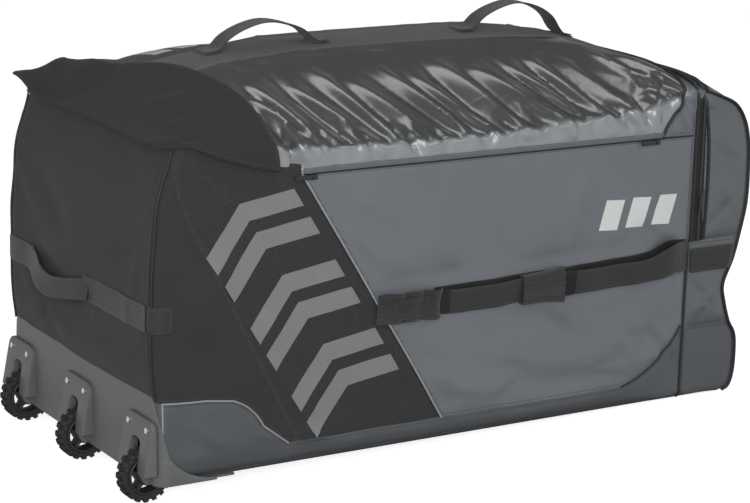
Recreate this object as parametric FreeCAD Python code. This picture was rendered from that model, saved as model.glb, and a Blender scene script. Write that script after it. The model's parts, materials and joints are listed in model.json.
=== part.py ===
import FreeCAD, Part
import math
import os

# Wheeled ice hockey goalie bag: a soft shell on a moulded wheel chassis, with a hinged lid and an end pocket.
#
# Millimetres. The bag is drawn level in its own coordinates: X runs along it, from the wheel end (-) to the
# end pocket (+), Y from the front (-) to the back (+), and Z up from its flat bottom. place() then tips it
# onto its wheels and heel edge, and puts the origin under the middle of its bounding box.

# Driving dimensions
LENGTH = 1016.0
WIDTH = 500.0
SEAM_Z = 426.0            # seam between the lid and the walls
FABRIC = 4.0              # padded fabric wall
GAP = 1.0                 # play between parts that move apart
WEBBING = 3.0             # thickness of strap webbing
WEBBING_WIDTH = 38.0
PIPING = 2.5

WHEEL_R = 40.0
WHEEL_WIDTH = 24.0
WHEEL_X = -506.0
WHEEL_Z = 8.0
WHEEL_PITCH = 207.0
AXLE_R = 4.0
AXLE_HEAD_R = 6.5
AXLE_HEAD = 2.5
BEARING_BORE_R = 4.05
BEARING_R = 11.0
BEARING_WIDTH = 7.0
HUB_R = 28.0
HUB_RIM = 4.0
SPOKE_HALF = 2.6
SPOKE_COUNT = 5
SPOKE_SET_BACK = 3.0
TREAD_R = 36.5
LUG_COUNT = 18
LUG_HALF = 3.6
LUG_TIP_R = WHEEL_R - 0.15
ROW_GAP = 0.6             # between the middle of the tread and each row of lugs

END_X = -LENGTH / 2
SIDE_Y = WIDTH / 2
INSIDE_Y = SIDE_Y - FABRIC
POCKET_X = 410.0          # divider side of the end pocket
ZIP_X = 428.5             # pocket zip line
HEEL_X = 487.0            # the flat bottom ends here, and the bag stands on this edge
POCKET_FLOOR_Z = 118.0
FOLD_Z = 257.0            # the pocket cover folds down about this line
GUARD_Z = 36.0
CHASSIS_Z = 127.0
CHASSIS_WALL = 4.0
WING_Y = SIDE_Y + 3.0

WHEELS = {"front": -WHEEL_PITCH, "middle": 0.0, "back": WHEEL_PITCH}

# Lid cross-sections: place along X, height where the sides turn over, and height of the crown
DOME = (
    (-513.0, 476.0, 492.0),
    (-420.0, 478.0, 548.0),
    (-250.0, 474.0, 573.0),
    (0.0, 472.0, 581.0),
    (150.0, 472.0, 581.0),
    (330.0, 470.0, 562.0),
    (411.0, 496.0, 518.0),
)
# Lower edge of the lid, from the wheel end to the shoulder over the pocket
LID_EDGE = [(-474.0, 478.0), (-421.0, 462.0), (-367.0, 445.0), (-287.0, 432.0), (-285.0, SEAM_Z)]
SHOULDER_EDGE = [(350.0, SEAM_Z), (376.0, 466.0), (397.0, 500.0)]

# Convex outlines of the end pocket, carried past its open sides: (x, z) and (y, z)
POCKET_SIDE = [(380.0, 230.0), (502.0, 230.0), (509.0, 256.0), (523.0, 312.0), (523.0, 385.0),
               (513.0, 455.0), (490.0, 486.0), (448.0, 503.0), (411.0, 515.0), (380.0, 519.0)]
POCKET_END = [(-250.0, 230.0), (250.0, 230.0), (250.0, 445.0), (238.0, 476.0), (205.0, 497.0),
              (110.0, 515.0), (-110.0, 515.0), (-205.0, 497.0), (-238.0, 476.0), (-250.0, 445.0)]

TOP_HANDLE_Y = -22.0
TOP_HANDLES = {"left": (-300.0, -150.0, 606.0), "right": (138.0, 298.0, 613.0)}   # from x, to x, apex z
TOP_HANDLE_WIDTH = 20.0
TOP_HANDLE_LIFT = 9.0     # ends of the swinging part stand this far above the lid

V = FreeCAD.Vector
parts = {}


def box(x0, x1, y0, y1, z0, z1):
    return Part.makeBox(x1 - x0, y1 - y0, z1 - z0, V(x0, y0, z0))


def rod(x, z, radius, y0, y1):
    """Cylinder along Y."""
    return Part.makeCylinder(radius, y1 - y0, V(x, y0, z), V(0, 1, 0))


def closed_wire(steps, to_point):
    """Outline from a start point and steps: a point is a line to it, a pair of points an arc through both."""
    start = here = to_point(*steps[0])
    edges = []
    for step in steps[1:]:
        if isinstance(step[0], tuple):
            middle, end = (to_point(*point) for point in step)
            edges.append(Part.Arc(here, middle, end).toShape())
        else:
            end = to_point(*step)
            edges.append(Part.LineSegment(here, end).toShape())
        here = end
    if here.distanceToPoint(start) > 0.001:
        edges.append(Part.LineSegment(here, start).toShape())
    return Part.Wire(edges)


def prism_xz(steps, y0, y1):
    wire = closed_wire(steps, lambda x, z: V(x, y0, z))
    return Part.Face(wire).extrude(V(0, y1 - y0, 0))


def prism_yz(steps, x0, x1):
    wire = closed_wire(steps, lambda y, z: V(x0, y, z))
    return Part.Face(wire).extrude(V(x1 - x0, 0, 0))


def prism_xy(steps, z0, z1):
    wire = closed_wire(steps, lambda x, y: V(x, y, z0))
    return Part.Face(wire).extrude(V(0, 0, z1 - z0))


def mirrored(shape):
    """The same piece on the other side of the bag."""
    return shape.mirror(V(0, 0, 0), V(0, 1, 0))


def inset(points, distance):
    """Convex outline, counter-clockwise, moved inwards by a distance."""
    sides = []
    for (x0, z0), (x1, z1) in zip(points, points[1:] + points[:1]):
        length = math.hypot(x1 - x0, z1 - z0)
        nx, nz = (z0 - z1) / length, (x1 - x0) / length
        sides.append((nx, nz, nx * x0 + nz * z0 + distance))
    moved = []
    for (a, b, c), (d, e, f) in zip(sides[-1:] + sides[:-1], sides):
        det = a * e - b * d
        moved.append(((c * e - b * f) / det, (a * f - c * d) / det))
    return moved


def between(x, column):
    """Height of a dome column at x."""
    for low, high in zip(DOME, DOME[1:]):
        if low[0] <= x <= high[0]:
            share = (x - low[0]) / (high[0] - low[0])
            return low[column] + share * (high[column] - low[column])
    raise ValueError(x)


def dome(grow, base):
    """Solid under the top of the bag, its outside moved out by grow, down to the height base."""
    half = SIDE_Y + grow
    wires = []
    for x, ridge, crown in DOME:
        over = ((0.0, crown + grow), (half, ridge + grow))
        steps = [(-half, base), (-half, ridge + grow), over, (half, base)]
        wires.append(closed_wire(steps, lambda y, z, x=x: V(x, y, z)))
    return Part.makeLoft(wires, True, True)


def pocket_form(wall):
    side = prism_xz(inset(POCKET_SIDE, wall), -SIDE_Y - 5, SIDE_Y + 5)
    return side.common(prism_yz(inset(POCKET_END, wall), POCKET_X - 40, POCKET_X + 130))


def add(name, shape):
    parts[name] = shape


def add_pair(name, shape):
    """A piece on the front of the bag and the same piece on the back."""
    add("front_" + name, shape)
    add("back_" + name, mirrored(shape))


# Wheels, each with a lugged tyre, a spoked hub and two ball bearings on its own axle

def tyre(y):
    ring = rod(WHEEL_X, WHEEL_Z, TREAD_R, y - WHEEL_WIDTH / 2, y + WHEEL_WIDTH / 2)
    lugs = []
    for row, side in enumerate((-1, 1)):
        y0 = y + (ROW_GAP if side > 0 else -WHEEL_WIDTH / 2)
        for k in range(LUG_COUNT):
            lug = box(-LUG_HALF, LUG_HALF, y0, y0 + WHEEL_WIDTH / 2 - ROW_GAP, TREAD_R - 2, LUG_TIP_R)
            lug.rotate(V(0, 0, 0), V(0, 1, 0), (k + row / 2) * 360 / LUG_COUNT)
            lug.translate(V(WHEEL_X, 0, WHEEL_Z))
            lugs.append(lug)
    rim = rod(WHEEL_X, WHEEL_Z, HUB_R, y - WHEEL_WIDTH, y + WHEEL_WIDTH)
    return ring.multiFuse(lugs).cut(rim).removeSplitter()


def hub(y):
    half = WHEEL_WIDTH / 2
    rim = rod(WHEEL_X, WHEEL_Z, HUB_R, y - half, y + half)
    rim = rim.cut(rod(WHEEL_X, WHEEL_Z, HUB_R - HUB_RIM, y - half, y + half))
    centre = rod(WHEEL_X, WHEEL_Z, BEARING_R + 3, y - half, y + half)
    spokes = []
    set_back = half - SPOKE_SET_BACK
    for k in range(SPOKE_COUNT):
        spoke = box(-SPOKE_HALF, SPOKE_HALF, y - set_back, y + set_back, BEARING_R, HUB_R - 2)
        spoke.rotate(V(0, 0, 0), V(0, 1, 0), k * 360 / SPOKE_COUNT)
        spoke.translate(V(WHEEL_X, 0, WHEEL_Z))
        spokes.append(spoke)
    body = rim.multiFuse([centre] + spokes)
    bore = rod(WHEEL_X, WHEEL_Z, BEARING_R - 2, y - half, y + half)
    seats = [rod(WHEEL_X, WHEEL_Z, BEARING_R, y - half, y - half + BEARING_WIDTH),
             rod(WHEEL_X, WHEEL_Z, BEARING_R, y + half - BEARING_WIDTH, y + half)]
    return body.cut(bore.multiFuse(seats)).removeSplitter()


def bearings(y):
    half = WHEEL_WIDTH / 2
    rings = []
    for y0 in (y - half, y + half - BEARING_WIDTH):
        ring = rod(WHEEL_X, WHEEL_Z, BEARING_R, y0, y0 + BEARING_WIDTH)
        rings.append(ring.cut(rod(WHEEL_X, WHEEL_Z, BEARING_BORE_R, y0, y0 + BEARING_WIDTH)))
    return Part.makeCompound(rings)


WELL_HALF = 15.0          # inside half-width of a wheel well
WELL_WALL = 4.0
WELL_Z = 58.0
WELL_BACK_X = -458.0
TRAY_X = -385.0           # the chassis tray ends and the cloth bottom begins
AXLE_HALF = WELL_HALF + WELL_WALL


def axle(y):
    heads = [rod(WHEEL_X, WHEEL_Z, AXLE_HEAD_R, y - AXLE_HALF - AXLE_HEAD, y - AXLE_HALF),
             rod(WHEEL_X, WHEEL_Z, AXLE_HEAD_R, y + AXLE_HALF, y + AXLE_HALF + AXLE_HEAD)]
    return rod(WHEEL_X, WHEEL_Z, AXLE_R, y - AXLE_HALF, y + AXLE_HALF).multiFuse(heads)


# Housing that caps each wheel well: a hollow wedge riveted to the end plate
HOUSING_HALF = 46.0
HOUSING_TOP = 95.0
HOUSING_FOOT = 16.0
HOUSING_TOP_DEPTH = 6.0
HOUSING_FOOT_DEPTH = 19.0
HOUSING_LEAN = math.degrees(math.atan2(HOUSING_FOOT_DEPTH - HOUSING_TOP_DEPTH, HOUSING_TOP - HOUSING_FOOT))
HOUSING_SIDE = [(END_X, HOUSING_FOOT), (END_X, HOUSING_TOP), (END_X - HOUSING_TOP_DEPTH, HOUSING_TOP),
                (END_X - HOUSING_FOOT_DEPTH, HOUSING_FOOT)]
HOUSING_HOLLOW = [(END_X, HOUSING_FOOT + 3), (END_X, HOUSING_TOP - 3.5),
                  (END_X - 3.2, HOUSING_TOP - 3.5), (END_X - 15.6, HOUSING_FOOT + 3)]
RIVET_Z = 81.0
RIVET_OFFSET = 28.5
RIVET_HEAD = (4.2, 1.8)   # radius and height
RIVET_SHANK_R = 2.0
SLOT_TOP = 50.0           # the slot's arch springs from here


def rivet(y, radius, depth, height):
    """Round part of a rivet on the leaning face of a housing, from a depth in it to a height above it."""
    face_x = END_X - HOUSING_TOP_DEPTH - (HOUSING_TOP - RIVET_Z) * math.tan(math.radians(HOUSING_LEAN))
    out = V(-math.cos(math.radians(HOUSING_LEAN)), 0, math.sin(math.radians(HOUSING_LEAN)))
    return Part.makeCylinder(radius, depth + height, V(face_x, y, RIVET_Z) - out * depth, out)


def rivets(y):
    group = []
    for side in (-1, 1):
        place_y = y + side * RIVET_OFFSET
        head = rivet(place_y, RIVET_HEAD[0], 0, RIVET_HEAD[1])
        group.append(head.fuse(rivet(place_y, RIVET_SHANK_R, 2.6, 0.5)))
    return group


def housing(y):
    shell = prism_xz(HOUSING_SIDE, y - HOUSING_HALF, y + HOUSING_HALF)
    hollow = prism_xz(HOUSING_HOLLOW, y - HOUSING_HALF + 3, y + HOUSING_HALF - 3)
    slot = box(END_X - 30, END_X, y - WELL_HALF, y + WELL_HALF, 0, SLOT_TOP)
    arch = Part.makeCylinder(WELL_HALF, 30, V(END_X - 30, y, SLOT_TOP), V(1, 0, 0))
    cheeks = box(END_X - 15.2, END_X, y - AXLE_HALF - 0.3, y + AXLE_HALF + 0.3, 0, HOUSING_FOOT + 3.2)
    return shell.cut(hollow.multiFuse([slot, arch, cheeks] + rivets(y)))


def well_wall(y0, y1):
    """Cheek of a wheel well. It holds the axle and hangs a little below the chassis."""
    steps = [(WELL_BACK_X, 0.0), (WELL_BACK_X, WELL_Z), (END_X - 7.8, WELL_Z), (END_X - 14.8, 19.5),
             ((-516.5, 2.0), (-506.0, -3.0)), (-488.0, 0.0)]
    return prism_xz(steps, y0, y1)


def chassis():
    plate = box(END_X, END_X + CHASSIS_WALL, -WING_Y, WING_Y, 0, CHASSIS_Z)
    tray = box(END_X, TRAY_X, -WING_Y, WING_Y, 0, FABRIC - 0.5)
    wing_side = [(END_X, 0.0), (-416.0, 0.0), (-416.0, 4.0), ((-481.0, 31.0), (END_X, 96.0))]
    wing = prism_xz(wing_side, -WING_Y, -SIDE_Y)
    pieces = [tray, wing, mirrored(wing)]
    holes = []
    for y in WHEELS.values():
        left, right = y - AXLE_HALF, y + AXLE_HALF
        pieces.append(box(END_X, WELL_BACK_X, left, right, 0, WELL_Z))
        pieces += [well_wall(left, y - WELL_HALF), well_wall(y + WELL_HALF, right)]
        holes.append(box(END_X - 40, WELL_BACK_X - 3, y - WELL_HALF, y + WELL_HALF, -20, WELL_Z - 3))
        holes.append(rod(WHEEL_X, WHEEL_Z, AXLE_R, left, right))
        holes.append(rod(WHEEL_X, WHEEL_Z, AXLE_HEAD_R + 1.5, left - AXLE_HEAD - 1, left))
        holes.append(rod(WHEEL_X, WHEEL_Z, AXLE_HEAD_R + 1.5, right, right + AXLE_HEAD + 1))
    return plate.multiFuse(pieces).cut(holes[0].multiFuse(holes[1:])).removeSplitter()


for side_name, wheel_y in WHEELS.items():
    add("tyre_" + side_name, tyre(wheel_y))
    add("wheel_hub_" + side_name, hub(wheel_y))
    add("wheel_bearings_" + side_name, bearings(wheel_y))
    add("wheel_axle_" + side_name, axle(wheel_y))
    add("wheel_housing_" + side_name, housing(wheel_y))
add("housing_rivets", Part.makeCompound([one for y in WHEELS.values() for one in rivets(y)]))
add("wheel_chassis", chassis())

# Bottom, with a stiff board inside it
BOARD = 5.0
add("bottom_panel", box(TRAY_X, HEEL_X, -INSIDE_Y, INSIDE_Y, 0, FABRIC - 1))
add("bottom_board", box(-450, HEEL_X - 7, -INSIDE_Y + 6, INSIDE_Y - 6, FABRIC, FABRIC + BOARD))

# Side walls: a plain panel at the wheel end, a diagonal mesh band, a coated panel and a lower guard
BAND_FOOT_X = -279.0
BAND_LEAN = (-484.0 - BAND_FOOT_X) / (SEAM_Z - GUARD_Z)
BAND_CORNER_Z = GUARD_Z + (END_X - BAND_FOOT_X) / BAND_LEAN
LEFT_GUARD = [(-300.0, GUARD_Z), (-341.0, 67.0), ((-364.0, 96.0), (-390.0, 111.0)), (-433.0, 117.0)]
RIGHT_GUARD = [(294.0, GUARD_Z), ((361.0, 70.0), (405.0, 122.0))]
HEEL = [(HEEL_X, 0.0), ((510.0, 10.0), (517.0, 33.0)), (518.0, 75.0), (503.0, POCKET_FLOOR_Z)]

panel_left = [(BAND_FOOT_X, GUARD_Z)] + LEFT_GUARD + [
    (END_X + FABRIC, 122.0), (END_X + FABRIC, CHASSIS_Z), (END_X, CHASSIS_Z), (END_X, BAND_CORNER_Z)]
add_pair("plain_panel", prism_xz(panel_left, -SIDE_Y, -INSIDE_Y))

band_top = [(x, z - GAP) for x, z in LID_EDGE[:-1]]
mesh_band = [(BAND_FOOT_X, GUARD_Z), (-40.0, GUARD_Z), (-285.0, SEAM_Z)] + band_top[::-1] + [
    (END_X, 477.0), (END_X, BAND_CORNER_Z)]
add_pair("mesh_band", prism_xz(mesh_band, -SIDE_Y, -INSIDE_Y))

panel_right = [(-40.0, GUARD_Z)] + RIGHT_GUARD + [(POCKET_X, 122.0), (POCKET_X, SEAM_Z), (-285.0, SEAM_Z)]
add_pair("coated_panel", prism_xz(panel_right, -SIDE_Y, -INSIDE_Y))

guard = [(END_X + FABRIC, 3.6)] + [(END_X + FABRIC, 122.0)] + [
    (-433.0, 117.0), (-390.0, 111.0), ((-364.0, 96.0), (-341.0, 67.0)), (-300.0, GUARD_Z)] + RIGHT_GUARD + [
    (POCKET_X, 122.0), (POCKET_X, POCKET_FLOOR_Z), HEEL[3], HEEL[2], (517.0, 33.0), ((510.0, 10.0), HEEL[0]),
    (TRAY_X, 0.0), (TRAY_X, 3.6)]
add_pair("lower_guard", prism_xz(guard, -SIDE_Y, -INSIDE_Y))

# Ends and inner walls
end_panel = [(-INSIDE_Y, CHASSIS_Z), (-INSIDE_Y, 472.0), ((0.0, 488.0), (INSIDE_Y, 472.0)),
             (INSIDE_Y, CHASSIS_Z)]
add("wheel_end_panel", prism_yz(end_panel, END_X, END_X + FABRIC))
heel_inner = [(498.0, POCKET_FLOOR_Z), (513.5, 74.5), (512.7, 34.0), ((506.5, 13.5), (HEEL_X, FABRIC))]
add("heel_panel", prism_xz(HEEL + heel_inner, -INSIDE_Y, INSIDE_Y))
add("pocket_floor", box(POCKET_X, 497.5, -INSIDE_Y, INSIDE_Y, POCKET_FLOOR_Z - FABRIC, POCKET_FLOOR_Z))
divider = box(POCKET_X - FABRIC, POCKET_X, -INSIDE_Y, INSIDE_Y, POCKET_FLOOR_Z, 600)
add("divider_wall", divider.common(dome(-FABRIC - 0.3, POCKET_FLOOR_Z - 10)))

# Lower part of the end pocket, and the arch that its zip runs round
FACE_FOOT = (502.0, POCKET_FLOOR_Z)
FACE_WAIST = (486.0, 181.0)
FACE_TOP = (508.8, FOLD_Z - GAP)
FACE_WALL = 4.2           # measured along X
face_outside = [FACE_FOOT, FACE_WAIST, FACE_TOP]
face_inside = [(x - FACE_WALL, z) for x, z in face_outside[::-1]]
pocket_low = [(POCKET_X, POCKET_FLOOR_Z)] + face_outside + [(POCKET_X, FOLD_Z - GAP)]
add_pair("pocket_side", prism_xz(pocket_low, -SIDE_Y, -INSIDE_Y))
add("pocket_end_face", prism_xz(face_outside + face_inside, -INSIDE_Y, INSIDE_Y))
pocket_shell = pocket_form(0.0).cut(pocket_form(FABRIC))
add("pocket_zip_frame", pocket_shell.common(box(POCKET_X + 1, ZIP_X - 0.5, -300, 300, FOLD_Z - GAP, 600)))

# Cover of the end pocket, which zips open and folds down, with piping along its edge
cover_space = box(ZIP_X + 0.5, 540, -300, 300, FOLD_Z + 0.5, 600)
add("pocket_cover", pocket_shell.common(cover_space))
piping_outside = prism_xz(inset(POCKET_SIDE, -PIPING), -SIDE_Y, -INSIDE_Y)
piping_ring = piping_outside.cut(prism_xz(POCKET_SIDE, -SIDE_Y, -INSIDE_Y))
piping = piping_ring.common(box(480, 540, -300, 300, FOLD_Z + 0.5, 445))
add("pocket_piping", Part.makeCompound([piping, mirrored(piping)]))

# Top of the bag: a fixed shoulder beside the pocket, and the lid in five pieces of cloth
top_shell = dome(0, SEAM_Z).cut(dome(-FABRIC, SEAM_Z - 5))
edge = [(x, z + GAP) for x, z in LID_EDGE]
shoulder_line = [(x - GAP, z + GAP) for x, z in SHOULDER_EDGE]
lid_side = [(-520.0, 479.0)] + edge + shoulder_line + [(396.0, 700.0), (-520.0, 700.0)]
lid_shell = top_shell.common(prism_xz(lid_side, -300, 300))
shoulder_side = SHOULDER_EDGE + [(397.0, 700.0), (POCKET_X + 1, 700.0), (POCKET_X + 1, SEAM_Z)]
add("shoulder_arch", top_shell.common(prism_xz(shoulder_side, -300, 300)))

FLAP_LINE = [(-328.0, -260.0), (-339.0, -195.0), (-384.0, -97.0), (-431.0, 13.0)]
STRIP_FRONT = [(-384.0, -97.0), (-327.0, -92.0), (-188.0, -72.0), (274.0, -76.0), (317.0, -124.0),
               (380.0, -171.0), (400.0, -235.0)]
strip_back = [(x, -y) for x, y in STRIP_FRONT if x > -300]
band_front = [(-431.0, 13.0), (-285.0, 13.0)]
strip_ends = [(400.0, 235.0)] + strip_back[-2::-1]
regions = {
    "lid_end_flap": FLAP_LINE + [(-484.0, 260.0), (-530.0, 260.0), (-530.0, -260.0)],
    "lid_mesh_band": band_front + [(-235.0, 73.0), (-240.0, 260.0), (-484.0, 260.0)],
    "lid_centre_panel": STRIP_FRONT + strip_ends + [(-235.0, 73.0)] + band_front[::-1],
    "lid_front_quarter": [(-328.0, -260.0), (-339.0, -195.0)] + STRIP_FRONT + [(400.0, -260.0)],
    "lid_back_quarter": [(-240.0, 260.0), (-235.0, 73.0)] + strip_back + [(400.0, 260.0)],
}
for region_name, region in regions.items():
    add(region_name, lid_shell.common(prism_xy(region, SEAM_Z - 10, 650)))
add("lid_piping", box(-285, 349, -SIDE_Y - PIPING, -SIDE_Y, SEAM_Z + 4, SEAM_Z + 8))

# Carrying handles on the lid: sewn feet, and a webbing arch that swings about the line through its ends


def lid_z(x):
    """Height of the lid's outside at x on the handles' line."""
    ridge, crown = between(x, 1), between(x, 2)
    return crown - (crown - ridge) * (TOP_HANDLE_Y / SIDE_Y) ** 2


def handle_arch(x0, x1, apex):
    ends = [(x, lid_z(x) + TOP_HANDLE_LIFT) for x in (x0, x1)]
    middle = ((x0 + x1) / 2, apex)
    upper = [(x, z + WEBBING) for x, z in ends]
    steps = [ends[0], upper[0], (middle, upper[1]), ends[1], ((middle[0], apex - WEBBING), ends[0])]
    return prism_xz(steps, TOP_HANDLE_Y - TOP_HANDLE_WIDTH / 2, TOP_HANDLE_Y + TOP_HANDLE_WIDTH / 2)


FOOT_PATCH = 28.0         # the sewn patch reaches this far past the end of the arch
FOOT_RAMP = 22.0
patch_shell = dome(2.0, SEAM_Z).cut(dome(0, SEAM_Z - 5))
feet = []
for handle_name, (x0, x1, apex) in TOP_HANDLES.items():
    add("top_handle_" + handle_name, handle_arch(x0, x1, apex))
    for foot_x, way in ((x0, -1), (x1, 1)):
        near_x, far_x = foot_x + way * 4, foot_x + way * FOOT_RAMP
        low, high = sorted((near_x, foot_x + way * FOOT_PATCH))
        patch = patch_shell.common(box(low, high, TOP_HANDLE_Y - 15, TOP_HANDLE_Y + 15, 500, 650))
        ramp = [(far_x, lid_z(far_x) + 1), (far_x, lid_z(far_x) + 3), (near_x, lid_z(near_x) + 11),
                (near_x, lid_z(near_x) + 8), (far_x - way * 6, lid_z(far_x) + 1)]
        ramp_block = prism_xz(ramp, TOP_HANDLE_Y - 10, TOP_HANDLE_Y + 10).cut(dome(0.0, SEAM_Z))
        feet.append(patch.fuse(ramp_block).removeSplitter())
add("handle_feet", Part.makeCompound(feet))

# Haul straps along both sides: sewn down at their ends, standing off the bag between, with a grip sleeve
STRAP_Z = (196.0, 234.0)
STRAP_RUN = [(-151.0, 0.0), (-138.0, 0.0), (-110.0, 12.5), (-62.0, 12.5), (-42.0, 8.0), (320.0, 8.0),
             (346.0, 12.5), (384.0, 12.5), (400.0, 0.0), (409.0, 0.0)]
STRAP = 2.5
SLEEVE_X = (97.0, 170.0)


def strap_run(stand_off):
    return [(x, -SIDE_Y - out - stand_off) for x, out in STRAP_RUN]


strap = prism_xy(strap_run(0.0) + strap_run(STRAP)[::-1], *STRAP_Z)
sleeve_y = -SIDE_Y - 8.0 - STRAP - 3.0
sleeve = box(*SLEEVE_X, sleeve_y, sleeve_y + STRAP + 6, STRAP_Z[0] - 3, STRAP_Z[1] + 3)
sleeve = sleeve.cut(box(*SLEEVE_X, -SIDE_Y - 8.0 - STRAP, -SIDE_Y - 8.0, *STRAP_Z))
add_pair("haul_strap", strap)
add_pair("grip_sleeve", sleeve)

# Strap across the wheel end, with a slack grab handle that hangs from it
GRAB_Z = (214.0, 214.0 + WEBBING_WIDTH)
END_STRAP_X = END_X - WEBBING
near = [(END_X, -SIDE_Y), (END_STRAP_X, -SIDE_Y), (END_STRAP_X, -62.0), (-521.0, -40.0), (-518.5, -38.0),
        (END_X, -58.0)]
far = [(END_X, 162.0), (-518.5, 142.0), (-521.0, 144.0), (END_STRAP_X, 166.0), (END_STRAP_X, SIDE_Y),
       (END_X, SIDE_Y)]
add("wheel_end_strap", Part.makeCompound([prism_xy(near, *GRAB_Z), prism_xy(far, *GRAB_Z)]))
grab = [(-521.0, -36.0), ((-536.0, 52.0), (-521.0, 140.0)), (-518.5, 140.0),
        ((-533.0, 52.0), (-518.5, -36.0))]
add("wheel_end_handle", prism_xy(grab, 213.0, 243.0))

# Strap round the end pocket, with a pulling handle on the end face
PULL_Z = (208.0, 208.0 + WEBBING_WIDTH)
PULL_HALF = 112.0         # half-length of the pulling handle
PULL_X = 516.0            # where its ends stand, clear of the end face
face_slope = (FACE_TOP[0] - FACE_WAIST[0]) / (FACE_TOP[1] - FACE_WAIST[1])
face_band = [(FACE_WAIST[0] + face_slope * (z - FACE_WAIST[1]), z) for z in PULL_Z]
face_band += [(x + WEBBING, z) for x, z in face_band[::-1]]
side_strip = box(POCKET_X + 1, 494, -SIDE_Y - WEBBING, -SIDE_Y, *PULL_Z)
pocket_strap = side_strip.fuse(prism_xz(face_band, -SIDE_Y, -PULL_HALF - 10))
add("pocket_strap", Part.makeCompound([pocket_strap, mirrored(pocket_strap)]))
tab_side = [(496.0, 212.0), (504.3, 241.0), (518.0, 241.0), (518.0, 212.0)]
tab = prism_xz(tab_side, -PULL_HALF - 10, -PULL_HALF - 4)
tab = tab.cut(prism_xz([(480.0, 160.0), FACE_WAIST, FACE_TOP, (480.0, FACE_TOP[1])], -200, 0))
add("pull_handle_tabs", Part.makeCompound([tab, mirrored(tab)]))
pull = [(PULL_X, -PULL_HALF), ((PULL_X + 11, 0.0), (PULL_X, PULL_HALF)), (PULL_X + WEBBING, PULL_HALF),
        ((PULL_X + 11 + WEBBING, 0.0), (PULL_X + WEBBING, -PULL_HALF))]
add("pull_handle", prism_xy(pull, 211.0, 241.0))

# Zip sliders, each a small block with a pull tab


SLIDER_Y = (-SIDE_Y - 4.4, -SIDE_Y - 0.4)
TAB_Y = (-SIDE_Y - 4.0, -SIDE_Y - 2.4)


def slider_x(x):
    body = box(x - 6, x + 6, *SLIDER_Y, SEAM_Z - 8.5, SEAM_Z - 0.5)
    return body.fuse(box(x - 4, x + 4, *TAB_Y, SEAM_Z - 34, SEAM_Z - 8))


add("lid_zip_slider_left", slider_x(-268))
add("lid_zip_slider_right", slider_x(336))
tape = box(-284, 349, -INSIDE_Y, -INSIDE_Y + 1.2, SEAM_Z - 16, SEAM_Z)
end_tape = box(END_X + FABRIC, END_X + FABRIC + 1.2, -200, 200, 455, 471)
add("lid_zip_tape", Part.makeCompound([tape, end_tape]))
pocket_slider = box(ZIP_X - 4, ZIP_X + 4, *SLIDER_Y, 326, 338)
pocket_slider = pocket_slider.fuse(box(ZIP_X - 3.5, ZIP_X + 3.5, *TAB_Y, 298, 326.5))
add("pocket_zip_slider", pocket_slider)

# The bag stands on its wheels and on the heel edge, so its bottom tips up a little towards the wheels
reach = HEEL_X - WHEEL_X
TIP = math.degrees(math.asin(WHEEL_R / math.hypot(reach, WHEEL_Z)) - math.atan2(WHEEL_Z, reach))


def place(shape):
    shape.rotate(V(HEEL_X, 0, 0), V(0, 1, 0), TIP)
    return shape


for shape in parts.values():
    place(shape)
bounds = Part.makeCompound(list(parts.values())).optimalBoundingBox(False, False)
shift = V(-(bounds.XMin + bounds.XMax) / 2, 0, -bounds.ZMin)
print("tip %.4f deg, shift %.3f %.3f, size %.1f %.1f %.1f, parts %d" % (
    TIP, shift.x, shift.z, bounds.XLength, bounds.YLength, bounds.ZLength, len(parts)))

os.makedirs("parts", exist_ok=True)
for name, shape in parts.items():
    shape.translate(shift)
    if not shape.isValid() or not shape.Solids:
        print("bad shape", name, shape.isValid(), len(shape.Solids))
    shape.exportStep("parts/%s.step" % name)
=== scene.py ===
import json
import math

import bmesh
import bpy
import numpy as np
from mathutils import Matrix, Vector, noise
from mathutils.geometry import delaunay_2d_cdt


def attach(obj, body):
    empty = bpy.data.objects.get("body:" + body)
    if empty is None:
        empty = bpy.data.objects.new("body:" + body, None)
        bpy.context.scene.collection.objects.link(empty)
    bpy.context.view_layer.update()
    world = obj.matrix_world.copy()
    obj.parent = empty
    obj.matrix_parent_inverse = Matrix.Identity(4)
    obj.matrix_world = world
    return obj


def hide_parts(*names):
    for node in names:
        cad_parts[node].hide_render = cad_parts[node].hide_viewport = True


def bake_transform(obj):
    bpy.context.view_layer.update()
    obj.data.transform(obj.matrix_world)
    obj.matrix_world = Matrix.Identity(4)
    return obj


# The looks of the hockey equipment bag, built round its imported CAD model.
#
# Everything is drawn in the level bag's own millimetres, as the CAD is: X runs from the wheel end (-) to the
# end pocket (+), Y from the front (-) to the back (+) and Z up from the flat bottom. placed() turns such
# points into metres in the row frame, tipped as the bag stands. The cloth lies on skins: smooth grids of
# points over two coordinates, which neighbouring panels, pipings, zips and marks all share.

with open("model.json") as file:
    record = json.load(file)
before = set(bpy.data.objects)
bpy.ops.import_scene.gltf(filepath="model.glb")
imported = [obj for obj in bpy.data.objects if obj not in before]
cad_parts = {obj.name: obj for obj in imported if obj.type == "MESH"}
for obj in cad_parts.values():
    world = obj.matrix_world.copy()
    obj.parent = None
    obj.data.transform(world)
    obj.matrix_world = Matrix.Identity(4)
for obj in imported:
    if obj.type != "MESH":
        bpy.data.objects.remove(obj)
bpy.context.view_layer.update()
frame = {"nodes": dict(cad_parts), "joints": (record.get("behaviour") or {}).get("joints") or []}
joints = {joint["name"]: joint for joint in frame["joints"]}

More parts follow.
